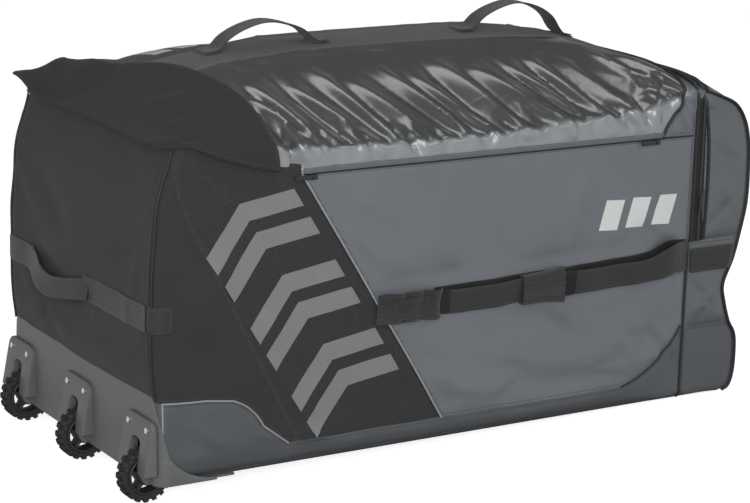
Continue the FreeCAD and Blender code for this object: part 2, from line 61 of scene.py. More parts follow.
# Sizes of the bag, in millimetres
SIDE_Y = 250.0
END_X = -508.0
SEAM_Z = 426.0
POCKET_X = 411.0
ZIP_X = 428.5
GUARD_Z = 36.0
CHASSIS_Z = 127.0
POCKET_FLOOR_Z = 118.0
FOLD_Z = 257.0
ZIP_TOP_Z = 480.0         # the pocket's zip turns over the top from here
CLOTH = 2.2               # thickness of a cloth panel
CORNER = 16.0             # rounding of the walls into the wheel end
HEM = 10.0                # rounding of the walls into the bottom
TOP_HALF = 300.0          # the top's cross coordinate runs from minus to plus this
U_MIN = END_X + CORNER - math.pi * CORNER / 2

hinge = joints["lid_hinge"]
COS, SIN = -hinge["axis"][0], hinge["axis"][2]
ORIGIN_X = hinge["pos_m"][0] - SIN * SEAM_Z / 1000
ORIGIN_Z = hinge["pos_m"][2] - COS * SEAM_Z / 1000


def placed(points):
    """Points in the level bag's millimetres, as metres in the row frame."""
    p = np.asarray(points, float).reshape(-1, 3) / 1000
    return np.column_stack((ORIGIN_X + COS * p[:, 0] + SIN * p[:, 2], p[:, 1],
                            ORIGIN_Z - SIN * p[:, 0] + COS * p[:, 2]))


# ---------------------------------------------------------------------------------------------------------
# Materials


class Finish:
    """A procedural material.

    Its patterns follow the weave attribute: along, across and distance from an edge, in millimetres.
    """

    def __init__(self, name, slot, roughness, **fixed):
        self.slot = slot
        self.material = bpy.data.materials.new(name)
        self.material.use_nodes = True
        self.tree = self.material.node_tree
        self.shader = self.tree.nodes["Principled BSDF"]
        self.shader.inputs["Roughness"].default_value = roughness
        for socket, value in fixed.items():
            self.shader.inputs[socket.replace("_", " ")].default_value = value
        self.heights = []

    def node(self, kind, outlet, settings=None, **inlets):
        made = self.tree.nodes.new("ShaderNode" + kind)
        for key, value in (settings or {}).items():
            setattr(made, key, value)
        for key, value in inlets.items():
            socket = made.inputs[int(key[1:])] if key[0] == "i" and key[1:].isdigit() else made.inputs[key]
            if isinstance(value, bpy.types.NodeSocket):
                self.tree.links.new(value, socket)
            else:
                socket.default_value = value
        return made.outputs[outlet]

    def weave(self):
        return self.node("Attribute", "Vector", {"attribute_name": "weave"})

    def space(self):
        """Place in the row frame, in millimetres."""
        place = self.node("TexCoord", "Object")
        return self.node("VectorMath", 0, {"operation": "SCALE"}, i0=place, Scale=1000.0)

    def part(self, vector, axis):
        return self.node("SeparateXYZ", axis, Vector=vector)

    def math(self, operation, a, b=0.0, clamp=False):
        return self.node("Math", 0, {"operation": operation, "use_clamp": clamp}, i0=a, i1=b)

    def noise(self, vector, size, detail=2.0, stretch=(1.0, 1.0, 1.0)):
        """Soft random values about 0.5, with features about size mm across, drawn out by stretch."""
        scaled = self.node("VectorMath", 0, {"operation": "MULTIPLY"}, i0=vector,
                           i1=[1 / (size * s) for s in stretch])
        return self.node("TexNoise", "Fac", None, Vector=scaled, Scale=1.0, Detail=detail)

    def ramp(self, value, low, high):
        """0 below low and 1 above high."""
        return self.node("MapRange", 0, None, Value=value, i1=low, i2=high)

    def waves(self, value, pitch):
        """A wave from 0 to 1 that repeats each pitch mm."""
        turned = self.math("MULTIPLY", value, 2 * math.pi / pitch)
        return self.math("MULTIPLY_ADD", self.node("Math", 0, {"operation": "SINE"}, i0=turned), 0.5)

    def mix(self, share, a, b):
        made = self.tree.nodes.new("ShaderNodeMix")
        made.data_type = "RGBA"
        for index, value in ((0, share), (6, a), (7, b)):
            if isinstance(value, bpy.types.NodeSocket):
                self.tree.links.new(value, made.inputs[index])
            else:
                made.inputs[index].default_value = value if index == 0 else (*value, 1.0)
        return made.outputs[2]

    def tinted(self, shade, where, share, colour):
        """The shade moved towards a colour by that share, where a pattern is 1."""
        return self.mix(self.math("MULTIPLY", where, share), shade, colour)

    def crossed(self, place, pitch):
        """Crossing threads: waves along times waves across."""
        return self.math("MULTIPLY", self.waves(self.part(place, "X"), pitch),
                         self.waves(self.part(place, "Y"), pitch))

    def colour(self, value):
        self.tree.links.new(value, self.shader.inputs["Base Color"])

    def rough(self, value, low, high):
        self.tree.links.new(self.node("MapRange", 0, None, Value=value, i1=0.25, i2=0.75, i3=low, i4=high),
                            self.shader.inputs["Roughness"])

    def raise_by(self, value, height):
        """Adds a relief of that height in millimetres to the bump."""
        self.heights.append(self.math("MULTIPLY", value, height / 1000))

    def done(self):
        if self.heights:
            total = self.heights[0]
            for height in self.heights[1:]:
                total = self.math("ADD", total, height)
            self.tree.links.new(self.node("Bump", 0, None, Height=total, Distance=1.0, Strength=1.0),
                                self.shader.inputs["Normal"])
        return self


def darker(colour, share):
    return tuple(c * share for c in colour)


ALWAYS_POSITIVE = 5000.0  # added to a distance in millimetres before taking its remainder
THREAD_HALF = 0.55        # half the thickness of sewing thread
SEAM_STITCH = 4.0         # how far from a panel's edge its stitches run


def stitches(finish, rows, length=4.2, gap=1.9):
    """Where thread shows: 1 on stitches in rows at those distances from the edge, along the weave."""
    place = finish.weave()
    edge, along = finish.part(place, "Z"), finish.part(place, "X")
    across = finish.part(place, "Y")
    run = finish.math("ADD", finish.math("ADD", along, across), ALWAYS_POSITIVE)
    dash = finish.math("LESS_THAN", finish.math("MODULO", run, length + gap), length)
    thread = None
    for row in rows:
        near = finish.math("COMPARE", edge, row)
        near.node.inputs[2].default_value = THREAD_HALF
        thread = near if thread is None else finish.math("MAXIMUM", thread, near)
    return finish.math("MULTIPLY", thread, dash)


def cloth_finish(name, slot, colour, tint, roughness, thread=1.3, sheen=0.0):
    """Woven polyester: crossing threads, slubs, faded patches, wear at the seams and a row of stitches."""
    finish = Finish(name, slot, roughness, Sheen_Weight=sheen, Sheen_Roughness=0.5, Specular_IOR_Level=0.25)
    place = finish.weave()
    crossing = finish.crossed(place, thread)
    patches = finish.noise(place, 90.0, 3.0)
    slubs = finish.noise(place, 2.6, 2.0, (4.0, 1.0, 1.0))
    shade = finish.mix(patches, darker(colour, 0.82), tint)
    shade = finish.tinted(shade, crossing, 0.35, darker(tint, 1.35))
    shade = finish.tinted(shade, slubs, 0.3, darker(colour, 0.7))
    shade = finish.tinted(shade, finish.ramp(finish.part(place, "Z"), 3.0, 0.0), 0.5, darker(tint, 1.5))
    sewn = stitches(finish, (SEAM_STITCH,))
    finish.colour(finish.tinted(shade, sewn, 0.75, darker(tint, 1.9)))
    finish.rough(patches, roughness - 0.06, roughness + 0.06)
    finish.raise_by(crossing, 0.16)
    finish.raise_by(slubs, 0.1)
    finish.raise_by(sewn, 0.35)
    return finish.done()


def coated_finish(name, colour, tint, roughness, coat, above=None):
    """Coated tarpaulin: a fine grain over a hidden weave, with rubbed patches and stitched seams.

    above is the colour and roughness of cloth whose weave coordinate across is positive, if given: the same
    tarp coloured darker there, as painted shade where less light falls.
    """
    finish = Finish(name, "coated_cloth", roughness, Coat_Weight=coat, Coat_Roughness=0.2,
                    Specular_IOR_Level=0.55)
    place = finish.weave()
    grain = finish.noise(place, 1.1, 2.0)
    patches = finish.noise(place, 120.0, 4.0)
    scuffs = finish.ramp(finish.noise(place, 9.0, 5.0, (5.0, 1.0, 1.0)), 0.62, 0.78)
    under_weave = finish.crossed(place, 2.4)
    shade = finish.mix(patches, colour, tint)
    if above:
        # Painted shade: where the weave coordinate across turns positive, the same tarp takes the darker
        # colour given as above.
        upper = finish.ramp(finish.part(place, "Y"), -3.0, 5.0)
        painted_slope_shade = finish.mix(patches, darker(above[0], 0.85), darker(above[0], 1.15))
        shade = finish.mix(upper, shade, painted_slope_shade)
    shade = finish.tinted(shade, grain, 0.25, darker(colour, 0.7))
    shade = finish.tinted(shade, scuffs, 0.18, darker(tint, 1.5))
    thread = stitches(finish, (SEAM_STITCH,))
    finish.colour(finish.tinted(shade, thread, 0.7, darker(colour, 0.35)))
    if above:
        lower = finish.node("MapRange", 0, None, Value=upper, i3=0.75, i4=0.25)
        finish.rough(lower, above[1], roughness)
    else:
        finish.rough(patches, roughness - 0.05, roughness + 0.08)
    finish.raise_by(grain, 0.05)
    finish.raise_by(under_weave, 0.05)
    finish.raise_by(thread, 0.3)
    return finish.done()


def mesh_finish():
    """Black open mesh over a dark backing: rows of small holes set in a honeycomb."""
    finish = Finish("mesh_band", "mesh_cloth", 0.7, Sheen_Weight=0.1)
    place = finish.weave()
    turned = finish.node("VectorRotate", 0, {"rotation_type": "Z_AXIS"}, Vector=place, Angle=0.48)
    cells = finish.node("TexVoronoi", "Distance", {"feature": "F1"}, Vector=turned, Scale=0.36,
                        Randomness=0.12)
    hole = finish.ramp(cells, 0.62, 0.34)
    patches = finish.noise(place, 80.0, 3.0)
    cord = finish.mix(patches, (0.030, 0.030, 0.033), (0.044, 0.044, 0.047))
    finish.colour(finish.mix(hole, cord, (0.006, 0.006, 0.007)))
    finish.rough(patches, 0.6, 0.75)
    finish.raise_by(finish.math("SUBTRACT", 1.0, hole), 0.45)
    return finish.done()


def print_finish(name, colour):
    """Printed film on cloth, a little cracked and with the weave showing through."""
    finish = Finish(name, None, 0.5)
    place = finish.weave()
    threads = finish.crossed(place, 2.6)
    worn = finish.ramp(finish.noise(place, 5.0, 6.0), 0.55, 0.75)
    shade = finish.tinted(colour, threads, 0.5, darker(colour, 0.55))
    finish.colour(finish.tinted(shade, worn, 0.25, darker(colour, 0.7)))
    finish.rough(finish.noise(place, 30.0), 0.42, 0.6)
    finish.raise_by(threads, 0.12)
    return finish.done()


def webbing_finish(name, colour, sheen=0.2):
    """Strap webbing: ribs along it, a herringbone across it and stitches near both edges."""
    finish = Finish(name, "webbing", 0.62, Sheen_Weight=sheen)
    place = finish.weave()
    along, across = finish.part(place, "X"), finish.part(place, "Y")
    ribs = finish.waves(across, 3.2)
    herring = finish.waves(finish.math("ADD", finish.math("PINGPONG", across, 3.2), along), 2.2)
    fuzz = finish.noise(place, 1.6, 3.0)
    shade = finish.mix(finish.math("MULTIPLY", ribs, 0.6), darker(colour, 0.6), darker(colour, 1.25))
    shade = finish.tinted(shade, herring, 0.35, darker(colour, 1.6))
    shade = finish.tinted(shade, finish.noise(place, 40.0), 0.5, darker(colour, 1.2))
    thread = stitches(finish, (3.0,), 3.4, 1.4)
    finish.colour(finish.tinted(shade, thread, 0.6, darker(colour, 2.2)))
    finish.rough(fuzz, 0.55, 0.72)
    finish.raise_by(ribs, 0.3)
    finish.raise_by(herring, 0.18)
    finish.raise_by(fuzz, 0.1)
    finish.raise_by(thread, 0.25)
    return finish.done()


def plastic_finish(name, slot, colour, roughness, grain=0.5, scuff=0.35):
    """Moulded plastic or rubber: spark-eroded grain, flow shading and scuffs."""
    finish = Finish(name, slot, roughness)
    place = finish.space()
    fine = finish.noise(place, grain, 2.0)
    flow = finish.noise(place, 60.0, 3.0)
    scuffs = finish.ramp(finish.noise(place, 6.0, 6.0, (6.0, 1.0, 1.0)), 0.6, 0.72)
    shade = finish.mix(flow, darker(colour, 0.86), darker(colour, 1.14))
    finish.colour(finish.tinted(shade, scuffs, scuff, darker(colour, 1.55)))
    finish.rough(flow, roughness - 0.06, roughness + 0.07)
    finish.raise_by(fine, 0.05)
    finish.raise_by(scuffs, 0.02)
    return finish.done()


def metal_finish(name, slot, colour, roughness):
    """Turned metal: fine lines round it and a few dull spots."""
    finish = Finish(name, slot, roughness, Metallic=1.0)
    place = finish.space()
    turned = finish.noise(place, 0.5, 2.0, (1.0, 12.0, 1.0))
    spots = finish.noise(place, 4.0, 4.0)
    finish.colour(finish.mix(spots, darker(colour, 0.75), colour))
    finish.rough(turned, roughness - 0.08, roughness + 0.12)
    finish.raise_by(turned, 0.02)
    return finish.done()


def piping_finish(name, slot, colour):
    """Corded piping: cloth wrapped round a cord, with fine slanting ridges."""
    finish = Finish(name, slot, 0.5)
    place = finish.weave()
    slant = finish.math("ADD", finish.part(place, "X"), finish.part(place, "Y"))
    ridges = finish.waves(slant, 2.4)
    shade = finish.mix(ridges, darker(colour, 0.72), colour)
    finish.colour(finish.tinted(shade, finish.noise(place, 25.0), 0.6, darker(colour, 0.6)))
    finish.rough(finish.noise(place, 8.0), 0.42, 0.62)
    finish.raise_by(ridges, 0.12)
    return finish.done()


matte = cloth_finish("matte_cloth", "matte_cloth", (0.036, 0.032, 0.032), (0.046, 0.041, 0.041), 0.85,
                     sheen=0.1)
# Painted shade: the flap is the matte cloth coloured darker, for the less lit top that it lies on.
painted_shade_flap_cloth = cloth_finish("painted_shade_flap_cloth", "matte_cloth", (0.033, 0.030, 0.030), (0.042, 0.038, 0.038), 0.88,
                          sheen=0.05)
strip = cloth_finish("strip_cloth", "matte_cloth", (0.108, 0.104, 0.099), (0.134, 0.128, 0.122), 0.74,
                     sheen=0.1)
lining = cloth_finish("lining_cloth", "base_cloth", (0.020, 0.020, 0.021), (0.028, 0.028, 0.029), 0.78)
tarp = coated_finish("coated_cloth", (0.130, 0.143, 0.160), (0.166, 0.180, 0.199), 0.40, 0.2)
# Painted light and shade on one tarp: a lighter colour than the wall's on the lit skirt below the ridge, and
# a darker one on the dimmer slope above it.
lid_tarp = coated_finish("lid_coated_cloth_painted_light_and_shade", (0.250, 0.268, 0.286), (0.285, 0.303, 0.320), 0.40, 0.8,
                         ((0.044, 0.048, 0.044), 0.29))
# Painted shade: the guard's tarp is coloured darker than the wall's, for the shade low on the bag.
guard_tarp = coated_finish("guard_coated_cloth_painted_shade", (0.070, 0.077, 0.086), (0.088, 0.096, 0.106), 0.42, 0.2)
pocket_tarp = coated_finish("pocket_coated_cloth", (0.100, 0.111, 0.118), (0.128, 0.141, 0.149), 0.40, 0.25)
mesh_band = mesh_finish()
grey_print = print_finish("grey_print", (0.215, 0.222, 0.226))
pale_print = print_finish("pale_print", (0.72, 0.73, 0.73))
webbing = webbing_finish("webbing", (0.021, 0.021, 0.021))
# Painted shadow: near-black webbing for the pieces that stand for the shade in the gaps beside the haul
# strap.
shadow_webbing = webbing_finish("shadow_webbing", (0.008, 0.008, 0.008), 0.0)
chassis_plastic = plastic_finish("chassis_plastic", "chassis", (0.118, 0.123, 0.122), 0.46)
hub_plastic = plastic_finish("hub_plastic", "hub", (0.022, 0.022, 0.023), 0.5, 0.4, 0.2)
zip_plastic = plastic_finish("zip_teeth", "slider", (0.026, 0.027, 0.028), 0.38, 0.3, 0.3)
rubber = plastic_finish("tyre_rubber", "tyre", (0.018, 0.018, 0.018), 0.72, 0.9, 0.5)
board = plastic_finish("board", "board", (0.050, 0.050, 0.050), 0.6, 1.5, 0.3)
steel = metal_finish("steel", "steel", (0.48, 0.48, 0.49), 0.34)
rivet_metal = metal_finish("rivet_metal", "rivet", (0.86, 0.86, 0.86), 0.28)
light_piping = piping_finish("light_piping", "piping", (0.40, 0.41, 0.41))
seam_tape = piping_finish("seam_tape", "piping", (0.155, 0.168, 0.186))
dark_piping = piping_finish("dark_piping", "dark_piping", (0.020, 0.020, 0.021))
tape = cloth_finish("zip_tape", "zip_tape", (0.018, 0.018, 0.019), (0.026, 0.026, 0.027), 0.75, thread=0.9)


# ---------------------------------------------------------------------------------------------------------
# Shapes


NO_EDGE = 50.0            # a distance from the edge at which there is no wear and no stitching


class Shape:
    """Points and faces, with each point's weave coordinate: along, across and distance from an edge."""

    def __init__(self):
        self.points, self.faces, self.weave, self.count = [], [], [], 0

    def add(self, points, faces, weave=None):
        points = np.asarray(points, float).reshape(-1, 3)
        if weave is None:
            no_edge = np.full(len(points), NO_EDGE)
            weave = np.column_stack((points[:, 0], points[:, 1] + points[:, 2], no_edge))
        self.points.append(points)
        self.weave.append(np.asarray(weave, float))
        self.faces += [[int(i) + self.count for i in face] for face in faces]
        self.count += len(points)
        return self

    def mirrored(self):
        """The same shape on the other side of the bag."""
        other = Shape()
        other.points = [p * (1, -1, 1) for p in self.points]
        other.faces, other.weave, other.count = self.faces, self.weave, self.count
        return other

    def joined(self, other):
        """This shape with another one added to it."""
        self.points += other.points
        self.weave += other.weave
        self.faces += [[i + self.count for i in face] for face in other.faces]
        self.count += other.count
        return self

    def on_both_sides(self):
        """This shape and the same one on the other side, as one."""
        return self.joined(self.mirrored())

    def make(self, name, finish, body, replaces=(), crease=40.0, bevel=0.0, fill=None):
        """The finished piece, riding on its body. One that stands for CAD nodes has a name of its own."""
        if replaces:
            name += "_look"
        mesh = bpy.data.meshes.new(name)
        mesh.from_pydata(placed(np.vstack(self.points)).tolist(), [], self.faces)
        attribute = mesh.attributes.new("weave", "FLOAT_VECTOR", "POINT")
        attribute.data.foreach_set("vector", np.vstack(self.weave).astype(np.float32).ravel())
        work = bmesh.new()
        work.from_mesh(mesh)
        bmesh.ops.recalc_face_normals(work, faces=work.faces)
        if bevel:
            sharp = [edge for edge in work.edges
                     if len(edge.link_faces) == 2 and edge.calc_face_angle(0) > math.radians(35)]
            bmesh.ops.bevel(work, geom=sharp, offset=bevel / 1000, segments=2, affect="EDGES", profile=0.6,
                            clamp_overlap=True)
        work.to_mesh(mesh)
        work.free()
        mesh.materials.append(finish.material)
        mesh.shade_smooth()
        mesh.set_sharp_from_angle(angle=math.radians(crease))
        obj = bpy.data.objects.new(name, mesh)
        bpy.context.scene.collection.objects.link(obj)
        if body:
            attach(obj, body)
        if replaces:
            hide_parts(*replaces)
        return obj

    def stand_for(self, node, finish, body, **options):
        """The finished piece in the place of the CAD node of that name."""
        return self.make(node, finish, body, replaces=(node,), **options)


def make_pair(name, shape, finish, **options):
    """A piece on the front and the same one on the back, standing for the CAD nodes of those names."""
    for side, form in (("front_", shape), ("back_", shape.mirrored())):
        form.stand_for(side + name, finish, "bag", **options)


def both_sides(name, shape, finish):
    """A piece on the front and the same one on the back, that no CAD node stands for."""
    shape.make("front_" + name, finish, "bag")
    shape.mirrored().make("back_" + name, finish, "bag")


def smoothstep(t):
    t = np.clip(t, 0.0, 1.0)
    return t * t * (3 - 2 * t)


def hump(t, power=1.0):
    """0 at 0 and 1, and 1 half way."""
    return np.sin(math.pi * np.clip(t, 0.0, 1.0)) ** power


def spline(points, at):
    """Values of a smooth curve through (place, value...) points, at other places."""
    table = np.asarray(points, float)
    place, value = table[:, 0], table[:, 1:]
    secant = np.diff(value, axis=0) / np.diff(place)[:, None]
    slope = np.vstack((secant[:1], (secant[1:] + secant[:-1]) / 2, secant[-1:]))
    at = np.clip(np.asarray(at, float), place[0], place[-1])
    i = np.clip(np.searchsorted(place, at) - 1, 0, len(place) - 2)
    width = place[i + 1] - place[i]
    t = ((at - place[i]) / width)[..., None]
    width = width[..., None]
    made = ((2 * t ** 3 - 3 * t ** 2 + 1) * value[i] + (t ** 3 - 2 * t ** 2 + t) * width * slope[i]
            + (3 * t ** 2 - 2 * t ** 3) * value[i + 1] + (t ** 3 - t ** 2) * width * slope[i + 1])
    return made[..., 0] if made.shape[-1] == 1 else made


def lengths(path):
    """How far along a path each of its points is."""
    steps = np.linalg.norm(np.diff(path, axis=0), axis=1)
    return np.concatenate(([0.0], np.cumsum(steps)))


def evenly(path, step, closed=False):
    """The same polyline with points at most step apart, corners kept."""
    path = np.asarray(path, float)
    ends = np.vstack((path[1:], path[:1])) if closed else path[1:]
    made = []
    for a, b in zip(path, ends):
        n = max(1, math.ceil(np.linalg.norm(b - a) / step))
        made += [a + (b - a) * k / n for k in range(n)]
    return np.array(made if closed else made + [path[-1]])


def smooth_path(points, step):
    """Points step apart on a smooth curve through the given ones."""
    points = np.asarray(points, float)
    along = lengths(points)
    fine = spline(np.column_stack((along, points)), np.linspace(0, along[-1], 400))
    run = lengths(fine)
    places = np.linspace(0, run[-1], max(2, round(run[-1] / step) + 1))
    return np.column_stack([np.interp(places, run, fine[:, k]) for k in range(fine.shape[1])])


def arc(start, middle, end, count=8):
    """Points on the circle through three points, without the first."""
    (ax, ay), (bx, by), (cx, cy) = start, middle, end
    d = 2 * (ax * (by - cy) + bx * (cy - ay) + cx * (ay - by))
    a2, b2, c2 = ax * ax + ay * ay, bx * bx + by * by, cx * cx + cy * cy
    ox = (a2 * (by - cy) + b2 * (cy - ay) + c2 * (ay - by)) / d
    oy = (a2 * (cx - bx) + b2 * (ax - cx) + c2 * (bx - ax)) / d
    angles = np.unwrap([math.atan2(y - oy, x - ox) for x, y in (start, middle, end)])
    radius = math.hypot(ax - ox, ay - oy)
    turns = np.linspace(angles[0], angles[2], count + 1)[1:]
    return [(ox + radius * math.cos(t), oy + radius * math.sin(t)) for t in turns]


class Skin:
    """A smooth surface through a grid of points over (u, v) in millimetres.

    side is 1 where the cross product of the u and v directions points outwards, else -1.
    """

    def __init__(self, u_span, v_span, step, shape, side=1):
        self.low = np.array((u_span[0], v_span[0]))
        self.size = np.array([max(4, round((b - a) / step) + 1) for a, b in (u_span, v_span)])
        self.u = np.linspace(*u_span, self.size[0])
        self.v = np.linspace(*v_span, self.size[1])
        self.step = np.array((self.u[1] - self.u[0], self.v[1] - self.v[0]))
        self.side = side
        self.points = shape(*self.grid())
        self.base = self.points.copy()

    def grid(self):
        return np.meshgrid(self.u, self.v, indexing="ij")

    def sample(self, uv):
        """Points on the surface, by cubic interpolation."""
        spot = np.clip((uv - self.low) / self.step, 0, self.size - 1)
        cell = np.clip(np.floor(spot), 0, self.size - 2).astype(int)
        padded = np.pad(self.points, ((1, 1), (1, 1), (0, 0)), mode="reflect", reflect_type="odd")
        weights = []
        for k in range(2):
            f = spot[:, k] - cell[:, k]
            weights.append((-0.5 * f + f ** 2 - 0.5 * f ** 3, 1 - 2.5 * f ** 2 + 1.5 * f ** 3,
                            0.5 * f + 2 * f ** 2 - 1.5 * f ** 3, -0.5 * f ** 2 + 0.5 * f ** 3))
        total = np.zeros((len(uv), 3))
        for i in range(4):
            for j in range(4):
                total += (weights[0][i] * weights[1][j])[:, None] * padded[cell[:, 0] + i, cell[:, 1] + j]
        return total

    def at(self, uv, lift=0.0):
        """Points on the surface, or lifted off it outwards."""
        uv = np.asarray(uv, float).reshape(-1, 2)
        reach = 1.5
        across_u = self.sample(uv + (reach, 0)) - self.sample(uv - (reach, 0))
        across_v = self.sample(uv + (0, reach)) - self.sample(uv - (0, reach))
        normal = np.cross(across_u, across_v) * self.side
        normal /= np.maximum(np.linalg.norm(normal, axis=1), 1e-9)[:, None]
        return self.sample(uv) + normal * np.broadcast_to(np.asarray(lift, float), len(uv))[:, None]

    def normals(self):
        """The outward directions at the grid's points."""
        along_u = np.gradient(self.points, axis=0)
        along_v = np.gradient(self.points, axis=1)
        normal = np.cross(along_u, along_v) * self.side
        return normal / np.maximum(np.linalg.norm(normal, axis=2), 1e-9)[..., None]

    def push(self, amount):
        """Moves the grid's points outwards by an array of distances."""
        self.points = self.points + self.normals() * amount[..., None]

    def fold(self, start, end, width, height):
        """A ridge, or a valley where height is negative, along a line that fades out at both ends."""
        a, b = np.array(start, float), np.array(end, float)
        run = b - a
        spot = np.stack(self.grid(), -1) - a
        along = (spot @ run) / (run @ run)
        off = (spot[..., 0] * run[1] - spot[..., 1] * run[0]) / math.hypot(*run)
        self.push(height * hump(along, 0.7) / (1 + (off / width) ** 2) ** 2)

    def press(self, folds):
        """Several folds, each as where from, where to, half-width and height."""
        for start, stop, width, height in folds:
            self.fold(start, stop, width, height)


# ---------------------------------------------------------------------------------------------------------
# Skins: the surfaces that the cloth lies on


CORNER_LINE = [(0.0, END_X), (127.0, END_X), (160.0, -513.0), (215.0, -515.0), (271.0, -514.0),
               (341.0, -511.0), (410.0, -504.0), (463.0, -487.0), (500.0, -480.0)]


def corner_x(z):
    """The upright seam at the wheel end: it stands out over the chassis and leans in under the flap."""
    return spline(CORNER_LINE, z)


def hem_curl(z):
    """How far the walls turn in towards the flat bottom."""
    low = np.clip(HEM - z, 0, HEM)
    return HEM - np.sqrt(HEM ** 2 - low ** 2)


def side_wall(u, z):
    """The front wall: full in the middle, tucked in at the guard and turned round the wheel end's corner."""
    angle = np.clip((END_X + CORNER - u) / CORNER, 0, math.pi / 2)
    x = np.maximum(u, END_X + CORNER) - CORNER * np.sin(angle)
    x = x + (corner_x(z) - END_X) * smoothstep((-380.0 - u) / 130.0)
    belly = 5.0 * hump(z / SEAM_Z, 0.7) * hump((u - U_MIN) / (POCKET_X - U_MIN), 0.6)
    tuck = 8.0 * np.clip((GUARD_Z - z) / GUARD_Z, 0, 1) ** 1.5 * smoothstep((380.0 - u) / 120.0)
    return np.stack((x, -SIDE_Y - belly + tuck + CORNER * (1 - np.cos(angle)) + hem_curl(z), z), -1)


# The top's cross-sections: place along X, height where the sides turn over, crown, how square, rounding
TOP_START_X = -513.0
SECTIONS = [(TOP_START_X, 481, 491, 2.2, 9), (-420, 475, 550, 2.6, 11), (-330, 465, 572, 2.5, 8),
            (-250, 459, 576, 2.2, 6), (-90, 456, 581, 2.0, 5), (60, 457, 582, 2.0, 5),
            (180, 463, 580, 2.0, 5), (300, 470, 567, 2.1, 6), (360, 480, 548, 3.2, 8),
            (POCKET_X, 497, 518, 6.0, 4)]
LID_EDGE = [(TOP_START_X, 480), (-474, 479), (-421, 462), (-367, 445), (-300, 430), (-285, SEAM_Z),
            (POCKET_X, SEAM_Z)]


def top_section(x, count):
    """Points over the top of the bag at x, from front edge to back edge, with softened corners."""
    fine_step, reach = 2.0, 30
    ridge, crown, power, radius = spline(SECTIONS, x)
    low = min(float(np.interp(x, *zip(*LID_EDGE))), ridge - 3.0)
    rise = np.linspace(low, ridge, 24, endpoint=False)
    y = np.linspace(-SIDE_Y, 0.0, 140)
    over = np.column_stack((y, ridge + (crown - ridge) * (1 - np.abs(y / SIDE_Y) ** power)))
    half = np.vstack((np.column_stack((np.full(24, -SIDE_Y), rise)), over))
    whole = np.vstack((half, half[-2::-1] * (-1, 1)))
    run = lengths(whole)
    fine = np.column_stack([np.interp(np.arange(0, run[-1], fine_step), run, whole[:, k]) for k in range(2)])
    bell = np.exp(-0.5 * (np.arange(-reach, reach + 1) * fine_step / radius) ** 2)
    soft = np.pad(fine, ((reach, reach), (0, 0)), mode="reflect", reflect_type="odd")
    soft = np.column_stack([np.convolve(soft[:, k], bell / bell.sum(), mode="valid") for k in range(2)])
    run = lengths(soft)
    return np.column_stack([np.interp(np.linspace(0, run[-1], count), run, soft[:, k]) for k in range(2)])


def over_top(u, v):
    """The top: u is the place along X, and v runs from the front edge to the back edge."""
    points = np.empty((*u.shape, 3))
    for i, x in enumerate(u[:, 0]):
        points[i, :, 0] = x
        points[i, :, 1:] = top_section(x, u.shape[1])
    return points


def wheel_end(y, z):
    """The upright wall above the wheels."""
    bulge = 9.0 * hump((y + SIDE_Y) / (2 * SIDE_Y), 0.7) * hump((z - 118.0) / 360.0, 0.8)
    return np.stack((corner_x(z) - bulge, y, z), -1)


# The end pocket's outline from its top round to its heel: along its front edge, and along its middle
HEEL = [(518, 75), (517, 33), (508, 9), (487, 0)]
POCKET_EDGE = [(POCKET_X, 497), (430, 493), (455, 485), (490, 469), (510, 442), (520, 409), (523, 377),
               (523, 312), (512, FOLD_Z), (502, 220), (486, 181), (491, 150), (502, POCKET_FLOOR_Z),
               (514, 98)] + HEEL
POCKET_MIDDLE = [(POCKET_X, 518), (432, 513), (460, 504), (492, 490), (512, 467), (521, 430), (525, 385),
                 (526, 312), (516, FOLD_Z), (507, 222), (490, 183), (494, 150), (504, POCKET_FLOOR_Z),
                 (515, 98)] + HEEL
ZIP_KNOT, FOLD_KNOT, FLOOR_KNOT, HEEL_KNOT = 1, 8, 12, 17
knots = np.arange(len(POCKET_EDGE))
edge_table = np.column_stack((knots, POCKET_EDGE))
middle_table = np.column_stack((knots, POCKET_MIDDLE))
fine_knots = np.linspace(0, knots[-1], 700)
middle_run = lengths(spline(middle_table, fine_knots))


def pocket_place(knot):
    """How far round the pocket's middle outline a knot is."""
    return float(np.interp(knot, fine_knots, middle_run))


def pocket_wrap(u, y):
    """The end pocket's cloth over its top, down its end and round its heel."""
    knot = np.interp(u, middle_run, fine_knots)
    edge = spline(edge_table, knot)
    middle = spline(middle_table, knot)
    share = (1 - np.abs(y / SIDE_Y) ** 6)[..., None]
    xz = edge + (middle - edge) * share
    y = y * (1 - hem_curl(xz[..., 1]) / SIDE_Y)
    return np.stack((xz[..., 0], y, xz[..., 1]), -1)


def pocket_flank(low_knot, high_knot, left_x, low_z, high_z, belly, width, height):
    """The pocket's side between an upright line at left_x and its outline from one knot to another."""
    def shape(u, v):
        share, level = u / width, v / height
        knot = low_knot + (high_knot - low_knot) * level
        edge = spline(edge_table, knot)
        x = left_x + (edge[..., 0] - left_x) * share
        z = (low_z + (high_z - low_z) * level) * (1 - share) + edge[..., 1] * share
        out = belly * hump(share, 0.6) * hump(level, 0.6)
        return np.stack((x, -SIDE_Y - out + hem_curl(z), z), -1)
    return Skin((0.0, width), (0.0, height), 9.0, shape)


